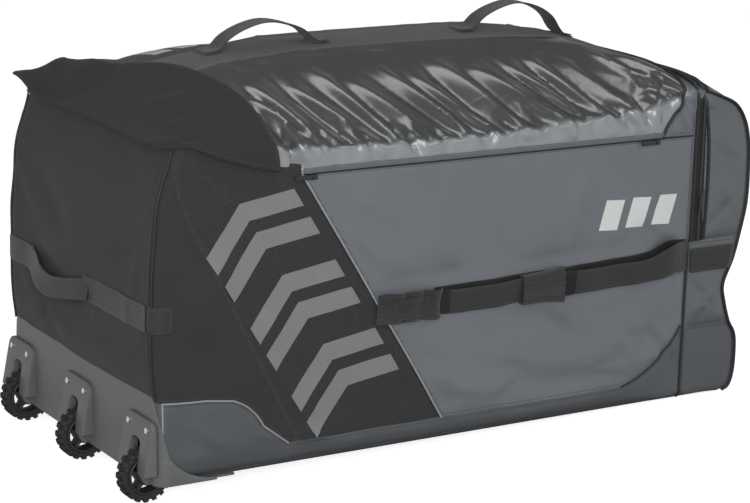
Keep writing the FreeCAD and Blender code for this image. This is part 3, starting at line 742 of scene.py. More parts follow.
front = Skin((U_MIN, POCKET_X), (0.0, 500.0), 10.0, side_wall)
top = Skin((TOP_START_X, POCKET_X), (-TOP_HALF, TOP_HALF), 8.0, over_top)
end = Skin((-SIDE_Y + CORNER, SIDE_Y - CORNER), (100.0, 490.0), 10.0, wheel_end, side=-1)
wrap = Skin((0.0, middle_run[-1]), (-SIDE_Y, SIDE_Y), 10.0, pocket_wrap)
cover_flank = pocket_flank(FOLD_KNOT, ZIP_KNOT, ZIP_X, FOLD_Z, 493.0, 5.0, 92.0, 300.0)
low_flank = pocket_flank(FLOOR_KNOT, FOLD_KNOT, POCKET_X, POCKET_FLOOR_Z, FOLD_Z, 4.0, 90.0, 139.0)
heel_flank = pocket_flank(HEEL_KNOT, FLOOR_KNOT, POCKET_X, 0.0, POCKET_FLOOR_Z, 1.5, 100.0, 118.0)


def frame_edge(u, z):
    """The zip frame's side: a narrow upright strip between the divider and the zip."""
    return np.stack((POCKET_X + u, np.full_like(u, -SIDE_Y - 0.5), z), -1)


frame_flank = Skin((0.0, ZIP_X - POCKET_X), (FOLD_Z, 494.0), 6.0, frame_edge)


def on_top(points):
    """The top's coordinates of points given by x and y, or by x, height up the front side and "z"."""
    made = []
    for x, across, *by_height in points:
        row = top.base[int(round((min(max(x, TOP_START_X), POCKET_X) - TOP_START_X) / top.step[0]))]
        if by_height:
            part = row[: len(row) // 3]
            made.append((x, float(np.interp(across, part[:, 2], top.v[: len(part)]))))
        elif abs(across) >= SIDE_Y:
            made.append((x, math.copysign(TOP_HALF, across)))
        else:
            inner = np.abs(row[:, 1]) < SIDE_Y - 1.5
            made.append((x, float(np.interp(across, row[inner, 1], top.v[inner]))))
    return made


def relax(skin, pinned, slack, shear, cap, seed, frames=26):
    """Lets the cloth of a skin settle into wrinkles between its pinned seams, by simulation.

    slack grows the cloth along u and v, shear slants it, and no point moves further than cap. The cloth
    starts a little lumpy, in a pattern that seed picks, so that it buckles.
    """
    rows, columns = skin.size
    start = skin.points.reshape(-1, 3)
    mesh = bpy.data.meshes.new("settling")
    index = np.arange(rows * columns).reshape(rows, columns)
    quads = np.stack((index[:-1, :-1], index[1:, :-1], index[1:, 1:], index[:-1, 1:]), -1).reshape(-1, 4)
    mesh.from_pydata((start / 1000).tolist(), [], quads.tolist())
    obj = bpy.data.objects.new("settling", mesh)
    bpy.context.scene.collection.objects.link(obj)
    basis = obj.shape_key_add(name="Basis")
    rest = obj.shape_key_add(name="rest")
    spot = np.stack(np.meshgrid(skin.u - skin.u.mean(), skin.v - skin.v.mean(), indexing="ij"), -1)
    flow_u, flow_v = np.gradient(skin.points, axis=0), np.gradient(skin.points, axis=1)
    flow_u /= np.linalg.norm(flow_u, axis=2)[..., None]
    flow_v /= np.linalg.norm(flow_v, axis=2)[..., None]
    grown = skin.points + flow_u * (spot[..., :1] * slack[0]) + flow_v * (spot[..., 1:] * slack[1])
    grown = grown + flow_u * (spot[..., 1:] * shear)
    rest.data.foreach_set("co", (grown / 1000).astype(np.float32).ravel())
    crumple = np.array([noise.noise(Vector((u / 55.0 + seed, v / 55.0, seed * 1.7)))
                        for u in skin.u for v in skin.v])
    lumps = start + skin.normals().reshape(-1, 3) * (crumple * 2.2)[:, None] * (~pinned.reshape(-1, 1))
    lumpy = (lumps / 1000).astype(np.float32).ravel()
    mesh.vertices.foreach_set("co", lumpy)
    basis.data.foreach_set("co", lumpy)
    group = obj.vertex_groups.new(name="pins")
    group.add([int(i) for i in np.flatnonzero(pinned.ravel())], 1.0, "REPLACE")
    cloth = obj.modifiers.new("cloth", "CLOTH")
    settings = cloth.settings
    settings.quality = 5
    settings.mass = 0.25
    settings.tension_stiffness = settings.compression_stiffness = 40
    settings.shear_stiffness = 18
    settings.bending_stiffness = 0.35
    settings.tension_damping = settings.compression_damping = 12
    settings.shear_damping = 8
    settings.vertex_group_mass = "pins"
    settings.rest_shape_key = rest
    settings.effector_weights.gravity = 0.15
    cloth.collision_settings.use_collision = False
    scene = bpy.context.scene
    scene.frame_start, scene.frame_end = 1, frames
    cloth.point_cache.frame_start, cloth.point_cache.frame_end = 1, frames
    for step in range(1, frames + 1):
        scene.frame_set(step)
    settled = obj.evaluated_get(bpy.context.evaluated_depsgraph_get()).to_mesh()
    moved = np.empty(rows * columns * 3, np.float32)
    settled.vertices.foreach_get("co", moved)
    bpy.data.objects.remove(obj)
    shift = moved.reshape(rows, columns, 3) * 1000.0 - skin.points
    far = np.maximum(np.linalg.norm(shift, axis=2), 1e-6)[..., None]
    shift = shift * (cap * np.tanh(far / cap) / far)
    skin.points = skin.points + np.where(np.isfinite(shift), shift, 0.0)
    scene.frame_set(1)


FAR = 1e9


def near_lines(skin, lines, reach):
    """Which of a skin's grid points are within reach of any of the given polylines."""
    spots = np.stack(skin.grid(), -1).reshape(-1, 2)
    far = np.full(len(spots), FAR)
    for line in lines:
        far = np.minimum(far, edge_distance(spots, np.asarray(line, float), closed=False)[0])
    return (far < reach).reshape(skin.size)


def edge_distance(points, outline, closed=True):
    """Distance from each point to an outline, and how far along the outline the nearest place is."""
    starts = outline if closed else outline[:-1]
    ends = np.roll(outline, -1, axis=0) if closed else outline[1:]
    run = lengths(np.vstack((outline, outline[:1])))
    best, place = np.full(len(points), FAR), np.zeros(len(points))
    for a, b, begun in zip(starts, ends, run):
        side = b - a
        long = max(side @ side, 1e-9)
        share = np.clip((points - a) @ side / long, 0, 1)
        away = np.linalg.norm(points - a - share[:, None] * side, axis=1)
        nearer = away < best
        best = np.where(nearer, away, best)
        place = np.where(nearer, begun + share * math.sqrt(long), place)
    return best, place


def inside(points, outline):
    """Which points an outline goes round."""
    x, y = points[:, 0], points[:, 1]
    count = np.zeros(len(points), bool)
    for (ax, ay), (bx, by) in zip(outline, np.roll(outline, -1, axis=0)):
        crosses = (ay > y) != (by > y)
        count ^= crosses & (x < (bx - ax) * (y - ay) / (by - ay + 1e-12) + ax)
    return count


def panel(shape, skin, outline, spacing=7.0, lift=0.0, thick=CLOTH, dip=1.4, puff=0.0):
    """Adds a cloth panel to shape: the part of a skin inside an outline, with a thickness.

    dip is how deep its edge is drawn in by the seam, and puff how far its middle stands out.
    """
    outline = np.asarray(outline, float)
    outline = outline[np.linalg.norm(outline - np.roll(outline, 1, axis=0), axis=1) > 0.05]
    rim = evenly(outline, spacing, closed=True)
    low, high = outline.min(0), outline.max(0)
    rows = np.arange(low[1] + spacing * 0.5, high[1], spacing * 0.87)
    spots = [(x + (spacing / 2 if k % 2 else 0), y) for k, y in enumerate(rows)
             for x in np.arange(low[0] + spacing * 0.3, high[0], spacing)]
    spots = np.array(spots).reshape(-1, 2)
    spots = spots[inside(spots, outline)]
    spots = spots[edge_distance(spots, outline)[0] > spacing * 0.5]
    points = np.vstack((rim, spots))
    found = delaunay_2d_cdt([Vector(p) for p in points], [], [list(range(len(rim)))], 1, 1e-4)
    uv = np.array([tuple(p) for p in found[0]])
    faces = [list(face) for face in found[2]]
    edge = edge_distance(uv, outline)[0]
    height = lift - dip * np.exp(-edge / 3.0) + puff * (1 - np.exp(-edge / 24.0))
    upper, lower = skin.at(uv, height), skin.at(uv, lift - thick - dip * 0.3)
    count = len(uv)
    sides = {(a, b): face for face in faces for a, b in zip(face, face[1:] + face[:1])}
    shell = faces + [[i + count for i in reversed(face)] for face in faces]
    shell += [[b, a, a + count, b + count] for a, b in sides if (b, a) not in sides]
    weave = np.column_stack((uv, edge))
    return shape.add(np.vstack((upper, lower)), shell, np.vstack((weave, weave)))


def tube(shape, path, radius, sides=8):
    """Adds a round cord along a path of points."""
    path = np.asarray(path, float)
    count = len(path)
    tangent = np.gradient(path, axis=0)
    tangent /= np.maximum(np.linalg.norm(tangent, axis=1), 1e-9)[:, None]
    up = np.array((0.0, 0.0, 1.0)) if abs(tangent[0][2]) < 0.9 else np.array((1.0, 0.0, 0.0))
    points, weave = [], []
    run = lengths(path)
    for k in range(count):
        up = up - tangent[k] * (up @ tangent[k])
        up /= np.linalg.norm(up)
        out = np.cross(tangent[k], up)
        for s in range(sides):
            turn = 2 * math.pi * s / sides
            points.append(path[k] + radius * (math.cos(turn) * up + math.sin(turn) * out))
            weave.append((run[k], radius * turn, NO_EDGE))
    faces = []
    for k in range(count - 1):
        a, b = k * sides, (k + 1) * sides
        faces += [[a + s, a + (s + 1) % sides, b + (s + 1) % sides, b + s] for s in range(sides)]
    faces += [list(range(sides))[::-1], [(count - 1) * sides + s for s in range(sides)]]
    return shape.add(points, faces, weave)


def ribbon(shape, path, across, width, thick=2.2, columns=8, cup=0.0):
    """Adds a flat strap along a path.

    across is the direction of its width, fixed or given for each point, and cup bends its middle out.
    """
    path = np.asarray(path, float)
    across = np.broadcast_to(np.asarray(across, float), path.shape)
    widths = np.broadcast_to(np.asarray(width, float), len(path))
    tangent = np.gradient(path, axis=0)
    tangent /= np.maximum(np.linalg.norm(tangent, axis=1), 1e-9)[:, None]
    across = across - tangent * np.sum(across * tangent, axis=1)[:, None]
    across /= np.linalg.norm(across, axis=1)[:, None]
    normal = np.cross(tangent, across)
    run = lengths(path)
    points, weave = [], []
    for k in range(len(path)):
        half = widths[k] / 2
        for face in (1, -1):
            for c in range(columns + 1):
                side = 2 * c / columns - 1
                bend = cup * (side * side - 0.4)
                round_off = thick / 2 * (0.45 if c in (0, columns) else 1.0)
                points.append(path[k] + across[k] * side * half + normal[k] * (face * round_off + bend))
                edge = min(half * (1 - abs(side)), run[k] + 0.5, run[-1] - run[k] + 0.5)
                weave.append((run[k], side * half, edge))
    stride = 2 * (columns + 1)
    faces = []
    for k in range(len(path) - 1):
        a, b = k * stride, (k + 1) * stride
        for c in range(columns):
            faces.append([a + c, b + c, b + c + 1, a + c + 1])
            d = columns + 1 + c
            faces.append([a + d, a + d + 1, b + d + 1, b + d])
        faces.append([a, a + columns + 1, b + columns + 1, b])
        faces.append([a + columns, b + columns, b + stride - 1, a + stride - 1])
    last = (len(path) - 1) * stride
    for base, flip in ((0, False), (last, True)):
        for c in range(columns):
            cap = [base + c, base + c + 1, base + columns + 2 + c, base + columns + 1 + c]
            faces.append(cap[::-1] if flip else cap)
    return shape.add(points, faces, weave)


def prism(shape, outline, low, high, axis="y", turn=None):
    """Adds a solid between two planes across an axis, with an outline in the other two coordinates.

    turn is a function that moves the solid's points, if any.
    """
    outline = np.asarray(outline, float)
    points = np.array([np.insert(p, "xyz".index(axis), d) for d in (low, high) for p in outline])
    if turn is not None:
        points = turn(points)
    n = len(outline)
    faces = [list(range(n))[::-1], list(range(n, 2 * n))]
    faces += [[k, (k + 1) % n, (k + 1) % n + n, k + n] for k in range(n)]
    return shape.add(points, faces)


def block(shape, x, y, z):
    """Adds a box between pairs of coordinates."""
    return prism(shape, [(x[0], z[0]), (x[1], z[0]), (x[1], z[1]), (x[0], z[1])], y[0], y[1])


def lathe(shape, profile, centre, steps=48):
    """Adds a ring round an axis along Y. profile is a closed outline of (place along Y, radius) points."""
    x0, y0, z0 = centre
    n = len(profile)
    points, faces = [], []
    for k in range(steps):
        turn = 2 * math.pi * k / steps
        points += [(x0 + r * math.cos(turn), y0 + y, z0 + r * math.sin(turn)) for y, r in profile]
        a, b = k * n, (k + 1) % steps * n
        faces += [[a + s, a + (s + 1) % n, b + (s + 1) % n, b + s] for s in range(n)]
    return shape.add(points, faces)


# ---------------------------------------------------------------------------------------------------------
# Outlines on the skins


BAND_FOOT_X = -279.0
LID_START_X = -285.0      # where the lid's front edge starts, beside the end flap
FRONT_EDGE_X = -40.0      # foot of the slanting seam between the mesh band and the coated panel
LEFT_GUARD = ([(-433.0, 117.0), (-390.0, 111.0)] + arc((-390.0, 111.0), (-364.0, 96.0), (-341.0, 67.0))
              + [(-300.0, GUARD_Z)])
RIGHT_GUARD = [(294.0, GUARD_Z)] + arc((294.0, GUARD_Z), (361.0, 70.0), (405.0, 122.0), 12)
WALL_TOP = [(-286.0, 440.0), (-367.0, 454.0), (-421.0, 471.0), (-474.0, 486.0), (U_MIN, 486.0)]
BAND_CORNER = (-508.0, 472.0)
FLAP_LINE = [(-328.0, -260.0), (-339.0, -195.0), (-384.0, -97.0), (-431.0, 13.0)]
STRIP_FRONT = [(-384.0, -97.0), (-327.0, -92.0), (-188.0, -72.0), (274.0, -76.0), (317.0, -124.0),
               (380.0, -171.0), (396.0, -226.0)]
STRIP_BACK = [(x, -y) for x, y in STRIP_FRONT if x > -300]
LID_X = 349.0             # where the lid's front edge stops
LID_END_X = 396.0         # the lid's far end, in front of the shoulder arch
LID_END = [(LID_X, SEAM_Z + 1, "z"), (375.0, 466.0, "z"), (LID_END_X, 497.0, "z")]
BACK_START = [(-235.0, 73.0), (-240.0, 260.0)]


def back_side(uv):
    """The same places on the back half of the top."""
    return [(u, -v) for u, v in uv]


lid_end_uv = on_top(LID_END)
flap_line_uv = on_top(FLAP_LINE)
strip_front_uv = on_top(STRIP_FRONT)
strip_back_uv = on_top(STRIP_BACK)
band_end_uv = on_top([(-431.0, 13.0), (-484.0, 260.0)])
band_side_uv = on_top([(-431.0, 13.0), (-285.0, 13.0)])
back_start_uv = on_top(BACK_START)

# Folds pressed into the cloth before it settles
random = np.random.default_rng(11)
for k in range(26):
    x = -336.0 + k * 27.0 + random.uniform(-6, 6)
    lean = random.uniform(80, 125)
    top.fold((x, -104.0 - random.uniform(0, 40)), (x + lean, -290.0 + random.uniform(-4, 6)),
             random.uniform(12, 17), (11.0 if k % 2 else -9.0) * random.uniform(0.6, 1.15))
for k in range(22):
    x = -306.0 + k * 31.0 + random.uniform(-9, 9)
    top.fold((x, -212.0 - random.uniform(0, 20)),
             (x + random.uniform(16, 40), -300.0 + random.uniform(-4, 4)),
             random.uniform(8, 11), (6.0 if k % 2 else -7.0) * random.uniform(0.5, 1.2))
for k in range(18):
    x = -250.0 + k * 34.0 + random.uniform(-12, 12)
    top.fold((x, 92.0 + random.uniform(0, 40)), (x + random.uniform(50, 110), 286.0 - random.uniform(0, 12)),
             random.uniform(11, 16), (9.0 if k % 2 else -8.0) * random.uniform(0.6, 1.1))
top.press([((-322, -170), (-268, -304), 11, 10), ((-338, -180), (-286, -300), 10, -9),
           ((350, -176), (330, -304), 13, 11), ((374, -190), (352, -290), 10, -8),
           ((-500, -120), (-350, -215), 26, 5), ((-470, -60), (-350, -150), 22, -4),
           ((-480, -230), (-360, -262), 16, 5), ((-440, 60), (-360, -90), 18, 3)])
grid_u, grid_v = top.grid()
bulge_along = smoothstep((grid_u - TOP_START_X) / 50.0) * smoothstep((-395.0 - grid_u) / 60.0)
bulge_across = smoothstep((grid_v + 10.0) / 110.0) * smoothstep((264.0 - grid_v) / 95.0)
top.push(24.0 * bulge_along * bulge_across)
front.press([((-170, 250), (40, 262), 24, -4), ((60, 250), (330, 268), 24, -5),
             ((-90, 330), (120, 170), 26, 3), ((150, 90), (210, 400), 22, 3),
             ((394, 240), (399, 120), 7, -8), ((300, 300), (400, 240), 14, -5),
             ((-240, 380), (-150, 280), 12, 4), ((-262, 400), (-205, 330), 8, -3),
             ((-215, 398), (-120, 340), 14, 3), ((-450, 200), (-400, 330), 30, 5),
             ((-360, 60), (-200, 30), 12, 4), ((60, 22), (250, 26), 11, 4),
             ((320, 420), (372, 300), 18, 4), ((250, 160), (330, 60), 14, 3),
             ((-60, 110), (60, 50), 20, 3), ((330, 130), (396, 60), 10, -4),
             ((-470, 90), (-390, 40), 12, 3), ((340, 246), (392, 262), 9, -5),
             ((100, 190), (240, 110), 22, -3), ((-150, 190), (-60, 60), 16, 3)])
end.press([((-180, 190), (60, 150), 30, 6), ((-150, 330), (120, 260), 34, 5),
           ((20, 300), (210, 420), 30, -5), ((-60, 200), (160, 270), 16, -5),
           ((-220, 380), (-160, 200), 16, 3), ((100, 180), (200, 140), 14, 4)])
wrap.press([((60, -200), (110, -80), 14, 4), ((90, 40), (60, 190), 16, 4),
            ((180, -230), (250, -120), 16, -4), ((200, 100), (260, 220), 16, -4),
            ((300, -200), (330, 60), 14, 4), ((350, -60), (340, 210), 12, -4)])
cover_flank.press([((10, 20), (70, 60), 9, -3), ((20, 210), (70, 120), 12, 4),
                   ((30, 90), (80, 30), 8, 3), ((8, 260), (60, 230), 8, -3)])
low_flank.press([((10, 20), (70, 60), 7, 4), ((6, 76), (60, 36), 8, -4)])


def upright(skin, u):
    """A line over all of a skin at u."""
    return [(u, skin.v[0]), (u, skin.v[-1])]


def level(skin, v):
    """A line over all of a skin at v."""
    return [(skin.u[0], v), (skin.u[-1], v)]


def rim_of(skin):
    """The four edges of a skin."""
    return [line(skin, places[k]) for line, places in ((upright, skin.u), (level, skin.v)) for k in (0, -1)]


BAND_SEAM = [(FRONT_EDGE_X, GUARD_Z), (LID_START_X, SEAM_Z)]
front_pins = near_lines(front, [LEFT_GUARD + RIGHT_GUARD, [(BAND_FOOT_X, GUARD_Z), BAND_CORNER], BAND_SEAM,
                                WALL_TOP, [(LID_START_X, SEAM_Z), (POCKET_X, SEAM_Z)], *rim_of(front)], 6.0)
front_pins |= front.grid()[1] > SEAM_Z + 4
top_pins = near_lines(top, [strip_front_uv, strip_back_uv, flap_line_uv, lid_end_uv, back_side(lid_end_uv),
                            upright(top, LID_END_X), *rim_of(top)], 5.0)
top_pins |= np.abs(grid_v) > 276.0
end_pins = near_lines(end, [upright(end, end.u[0]), upright(end, end.u[-1]), level(end, CHASSIS_Z),
                            level(end, end.v[-1])], 8.0)
wrap_seams = [upright(wrap, pocket_place(knot)) for knot in (ZIP_KNOT, FOLD_KNOT, FLOOR_KNOT, 15)]
wrap_pins = near_lines(wrap, wrap_seams + rim_of(wrap), 6.0)
relax(top, top_pins, (0.018, 0.014), 0.05, 9.0, 3.1)
relax(front, front_pins, (0.011, 0.008), 0.018, 6.0, 5.2)
relax(end, end_pins, (0.010, 0.008), 0.02, 6.0, 7.4)
relax(wrap, wrap_pins, (0.008, 0.008), 0.015, 5.0, 9.3)

# ---------------------------------------------------------------------------------------------------------
# Cloth panels

def whole(skin):
    """The outline of all of a skin."""
    (u0, v0), (u1, v1) = (skin.u[0], skin.v[0]), (skin.u[-1], skin.v[-1])
    return [(u0, v0), (u1, v0), (u1, v1), (u0, v1)]


def strip_of(skin, from_u, to_u):
    """The outline of all of a skin between two places along it."""
    return [(from_u, skin.v[0]), (to_u, skin.v[0]), (to_u, skin.v[-1]), (from_u, skin.v[-1])]


SOFT = 0.4                # how full a cushioned wall is
plain_outline = ([(BAND_FOOT_X, GUARD_Z)] + LEFT_GUARD[::-1]
                 + [(U_MIN, 122.0), (U_MIN, 474.0), BAND_CORNER])
make_pair("plain_panel", panel(Shape(), front, plain_outline, 8.0), matte, fill=SOFT)
band_outline = [(BAND_FOOT_X, GUARD_Z)] + BAND_SEAM + WALL_TOP + [(U_MIN, 474.0), BAND_CORNER]
make_pair("mesh_band", panel(Shape(), front, band_outline, 8.0), mesh_band, fill=SOFT)
coated_outline = ([(FRONT_EDGE_X, GUARD_Z)] + RIGHT_GUARD
                  + [(POCKET_X, POCKET_FLOOR_Z), (POCKET_X, SEAM_Z), (LID_START_X, SEAM_Z)])
make_pair("coated_panel", panel(Shape(), front, coated_outline), tarp, fill=SOFT)
guard_outline = ([(U_MIN + 3, 2.0), (U_MIN + 3, 121.0)] + LEFT_GUARD + RIGHT_GUARD
                 + [(POCKET_X, POCKET_FLOOR_Z), (POCKET_X, 0.0), (-470.0, 0.0)])
guard = panel(Shape(), front, guard_outline, puff=1.2)
panel(guard, heel_flank, whole(heel_flank), puff=0.8)
make_pair("lower_guard", guard, guard_tarp, fill=0.35)
make_pair("pocket_side", panel(Shape(), low_flank, whole(low_flank), puff=1.5), pocket_tarp, fill=SOFT)
end_outline = [(end.u[0], 119.0), (end.u[-1], 119.0), (end.u[-1], 486.0), (end.u[0], 486.0)]
panel(Shape(), end, end_outline, 9.0).stand_for("wheel_end_panel", matte, "bag", fill=SOFT)


def at_level(z):
    """A flat sheet at that height."""
    return lambda x, y: np.stack((x, y, 0 * x + z), -1)


def divider(y, z):
    """The wall between the bag and its end pocket, with an arched top."""
    arch = 18 * ((z - POCKET_FLOOR_Z) / 372) * (1 - (y / 245) ** 4)
    return np.stack((POCKET_X - 1 + 0 * y, y, z + arch), -1)


bottom = Skin((-450.0, 487.0), (-239.0, 239.0), 40.0, at_level(0.0), -1)
panel(Shape(), bottom, whole(bottom), 16.0, thick=3.0).stand_for("bottom_panel", lining, "bag")
pocket_bottom = Skin((POCKET_X + 1, 497.0), (-245.0, 245.0), 40.0, at_level(POCKET_FLOOR_Z))
panel(Shape(), pocket_bottom, whole(pocket_bottom), 16.0).stand_for("pocket_floor", lining, "bag")
divider_skin = Skin((-245.0, 245.0), (POCKET_FLOOR_Z, 490.0), 40.0, divider)
panel(Shape(), divider_skin, whole(divider_skin), 14.0).stand_for("divider_wall", lining, "bag")

zip_u, fold_u, floor_u, heel_u = (pocket_place(k) for k in (ZIP_KNOT, FOLD_KNOT, FLOOR_KNOT, HEEL_KNOT))
panel(Shape(), wrap, strip_of(wrap, fold_u + 0.5, floor_u), 9.0, puff=1.5).stand_for(
    "pocket_end_face", pocket_tarp, "bag", fill=SOFT)
panel(Shape(), wrap, strip_of(wrap, floor_u, heel_u), 9.0).stand_for(
    "heel_panel", guard_tarp, "bag", fill=0.3)
flank = panel(Shape(), cover_flank, whole(cover_flank), 7.0, puff=1.5)
cover = panel(Shape(), wrap, strip_of(wrap, zip_u, fold_u - 0.5), 8.0, puff=1.5)
cover.joined(flank).joined(flank.mirrored()).stand_for("pocket_cover", pocket_tarp, "pocket", fill=0.5)
side_strip = panel(Shape(), frame_flank, whole(frame_flank), 6.0)
zip_frame = panel(Shape(), wrap, strip_of(wrap, 1.0, zip_u - 1.0), 7.0)
zip_frame.joined(side_strip).joined(side_strip.mirrored()).stand_for("pocket_zip_frame", tarp, "bag")


def round_lid_end(shift, count):
    """A line over the top beside the lid's far end, that much further along."""
    side = [(u + shift, v) for u, v in lid_end_uv]
    over = [(LID_END_X + shift, v) for v in np.linspace(side[-1][1], -side[-1][1], count)[1:-1]]
    return side + over + back_side(side)[::-1]


shoulder_outline = round_lid_end(1.0, 40) + [(POCKET_X, TOP_HALF), (POCKET_X, -TOP_HALF)]
panel(Shape(), top, shoulder_outline, 6.0).stand_for("shoulder_arch", tarp, "bag", fill=0.3)

LID_FILL = 0.45
ridge_points = [(x, float(spline(SECTIONS, x)[0]), "z") for x in np.linspace(-340.0, LID_END_X, 40)]
ridge_uv = np.array(on_top(ridge_points))


def from_ridge(shape, way):
    """Counts a lid panel's weave coordinate across from the ridge, upwards: the line where the lid's painted
    light turns to painted shade.
    """
    for place in shape.weave:
        place[:, 1] = way * place[:, 1] - np.interp(place[:, 0], *ridge_uv.T)
    return shape


front_quarter = [(-328.0, -TOP_HALF)] + flap_line_uv[1:3] + strip_front_uv[1:] + lid_end_uv[::-1]
from_ridge(panel(Shape(), top, front_quarter, 5.0), 1).stand_for(
    "lid_front_quarter", lid_tarp, "lid", fill=LID_FILL)
back_quarter = back_start_uv[::-1] + strip_back_uv + back_side(lid_end_uv)[::-1]
from_ridge(panel(Shape(), top, back_quarter, 7.0), -1).stand_for(
    "lid_back_quarter", lid_tarp, "lid", fill=LID_FILL)
strip_v = strip_front_uv[-1][1]
strip_end = [(LID_END_X, v) for v in np.linspace(strip_v, -strip_v, 12)[1:-1]]
centre = strip_front_uv + strip_end + strip_back_uv[::-1] + back_start_uv[:1] + band_side_uv[::-1]
panel(Shape(), top, centre, 7.0, puff=1.2).stand_for("lid_centre_panel", strip, "lid", fill=LID_FILL)
lid_band = band_side_uv + back_start_uv + band_end_uv[1:]
panel(Shape(), top, lid_band, 8.0).stand_for("lid_mesh_band", mesh_band, "lid", fill=LID_FILL)


def flap_shape(u, v):
    """The end flap lies on the top, hangs over the wheel end and lifts at its stiff far corner."""
    flat = np.column_stack((np.maximum(u, -512.0).ravel(), v.ravel()))
    clear = 3.2 + 3.0 * smoothstep((-258.0 - v.ravel()) / 20.0)
    points = top.at(flat, clear).reshape(*u.shape, 3)
    beyond = np.minimum(u + 512.0, 0.0)
    points[..., 0] += beyond
    points[..., 2] += 0.35 * beyond
    stiff = smoothstep((v - 110.0) / 150.0) * smoothstep((-345.0 - u) / 140.0)
    points[..., 2] += 24.0 * stiff
    points[..., 0] -= 3.0 * stiff
    return points


flap = Skin((-528.0, -320.0), (-TOP_HALF, TOP_HALF), 8.0, flap_shape)
flap_hem = [(-515.0, 264.0), (-520.0, 180.0), (-518.0, 0.0), (-516.0, -200.0), (-514.0, -TOP_HALF)]
flap_outline = ([(-322.0, -TOP_HALF)] + [(u + 4, v) for u, v in flap_line_uv[1:]]
                + [(-480.0, TOP_HALF), (-500.0, 290.0)] + flap_hem)
panel(Shape(), flap, flap_outline, 7.0, thick=2.4, dip=0.6).stand_for(
    "lid_end_flap", painted_shade_flap_cloth, "lid", fill=0.2)
tube(Shape(), flap.at(evenly(flap_outline[7:] + flap_outline[:1], 5.0), -0.8), 2.0).make(
    "flap_binding", painted_shade_flap_cloth, "lid")

# ---------------------------------------------------------------------------------------------------------
# Pipings, zips and marks


def line_on(skin, uv, lift):
    """A path over a skin through given places, lifted off it."""
    return skin.at(evenly(uv, 5.0), lift)


GUARD_RUN = [(-500.0, 58.0), (-500.0, 121.0), (-474.0, 119.0)] + LEFT_GUARD
WALL_PIPINGS = (("band_piping", BAND_SEAM, 0.5, 1.5, light_piping),
                ("guard_piping", GUARD_RUN, 0.2, 1.3, light_piping),
                ("wall_piping", RIGHT_GUARD, 0.2, 1.2, dark_piping),
                ("divider_piping", [(POCKET_X - 0.5, 3.0), (POCKET_X - 0.5, FOLD_Z)], -0.6, 2.4, dark_piping),
                ("end_corner_piping", [(U_MIN + 7, 124.0), (U_MIN + 7, 482.0)], 0.8, 1.8, dark_piping))
for name, uv, lift, radius, finish in WALL_PIPINGS:
    both_sides(name, tube(Shape(), line_on(front, uv, lift), radius), finish)
seam_line = line_on(top, [(-283.0, -TOP_HALF), (LID_X, -TOP_HALF)], 0.0)
seam_cord = ribbon(Shape(), seam_line + (0.0, -1.4, 4.6), (0, 0, 1), 7.5, 2.2, columns=4)
seam_cord.on_both_sides().stand_for("lid_piping", seam_tape, "lid")
# Painted shadow: a thin dark cord under the seam tape, for the shade beneath its edge.
tube(Shape(), line_on(front, [(-284.0, 425.2), (POCKET_X - 2, 425.2)], 0.1), 1.0).make(
    "front_seam_shadow_cord", dark_piping, "bag")


def edge_cord(from_knot, to_knot, count):
    """Piping along the pocket's front edge between two knots."""
    edge = spline(edge_table, np.linspace(from_knot, to_knot, count))
    path = np.column_stack((edge[:, 0], -SIDE_Y - 0.8 + hem_curl(edge[:, 1]), edge[:, 1]))
    return tube(Shape(), path, 2.6)


both_sides("corner_piping", edge_cord(FOLD_KNOT - 0.02, 16.5, 90), dark_piping)
edge_cord(ZIP_KNOT, FOLD_KNOT, 80).on_both_sides().stand_for("pocket_piping", dark_piping, "pocket")
tube(Shape(), line_on(top, round_lid_end(-2.0, 60), 0.2), 2.6).make("lid_end_binding", dark_piping, "lid")


def pocket_loop(x, lift, skin=None):
    """A line round the pocket's opening at x: up the front, on the flank skin if given, and over."""
    u = zip_u * (x - POCKET_X) / (430.0 - POCKET_X)
    over = wrap.at([(u, y) for y in np.linspace(-SIDE_Y + 12, SIDE_Y - 12, 60)], lift)
    rise = [(x, -SIDE_Y - lift, z) for z in np.linspace(FOLD_Z, ZIP_TOP_Z, 40)]
    if skin:
        rise = skin.at([(x - ZIP_X, v) for v in np.linspace(2.0, 270.0, 40)], lift)
    rise = np.array(rise)
    return smooth_path(np.vstack((rise, over, rise[::-1] * (1, -1, 1))), 4.0)


ZIP_LINES = (("pocket_zip_tape", 1.0, 19.0, tape), ("pocket_zip_teeth", 2.0, 4.6, zip_plastic))
for name, lift, width, finish in ZIP_LINES:
    path = pocket_loop(ZIP_X - 0.5, lift)
    ribbon(Shape(), path, (1.0, 0.0, 0.0), width, 2 * lift - 1, columns=4).make(name, finish, "bag")
tube(Shape(), pocket_loop(POCKET_X + 4.0, 1.0), 3.4).make("zip_frame_piping", dark_piping, "bag")
tube(Shape(), pocket_loop(ZIP_X + 11.0, 1.2, cover_flank), 2.8).make(
    "cover_zip_piping", dark_piping, "pocket")


def chevron(centre, turn, half, rise, thick):
    """A V of even thickness, turned about its centre."""
    shape = [(-half, -rise), (0, 0), (half, -rise), (half, thick - rise), (0, thick), (-half, thick - rise)]
    c, s = math.cos(turn), math.sin(turn)
    return [(centre[0] + c * a - s * b, centre[1] + s * a + c * b) for a, b in shape]


def printed(shape, skin, outline, spacing=6.0):
    """Adds a thin printed mark on a skin."""
    panel(shape, skin, outline, spacing, lift=0.7, thick=0.6, dip=0.0)


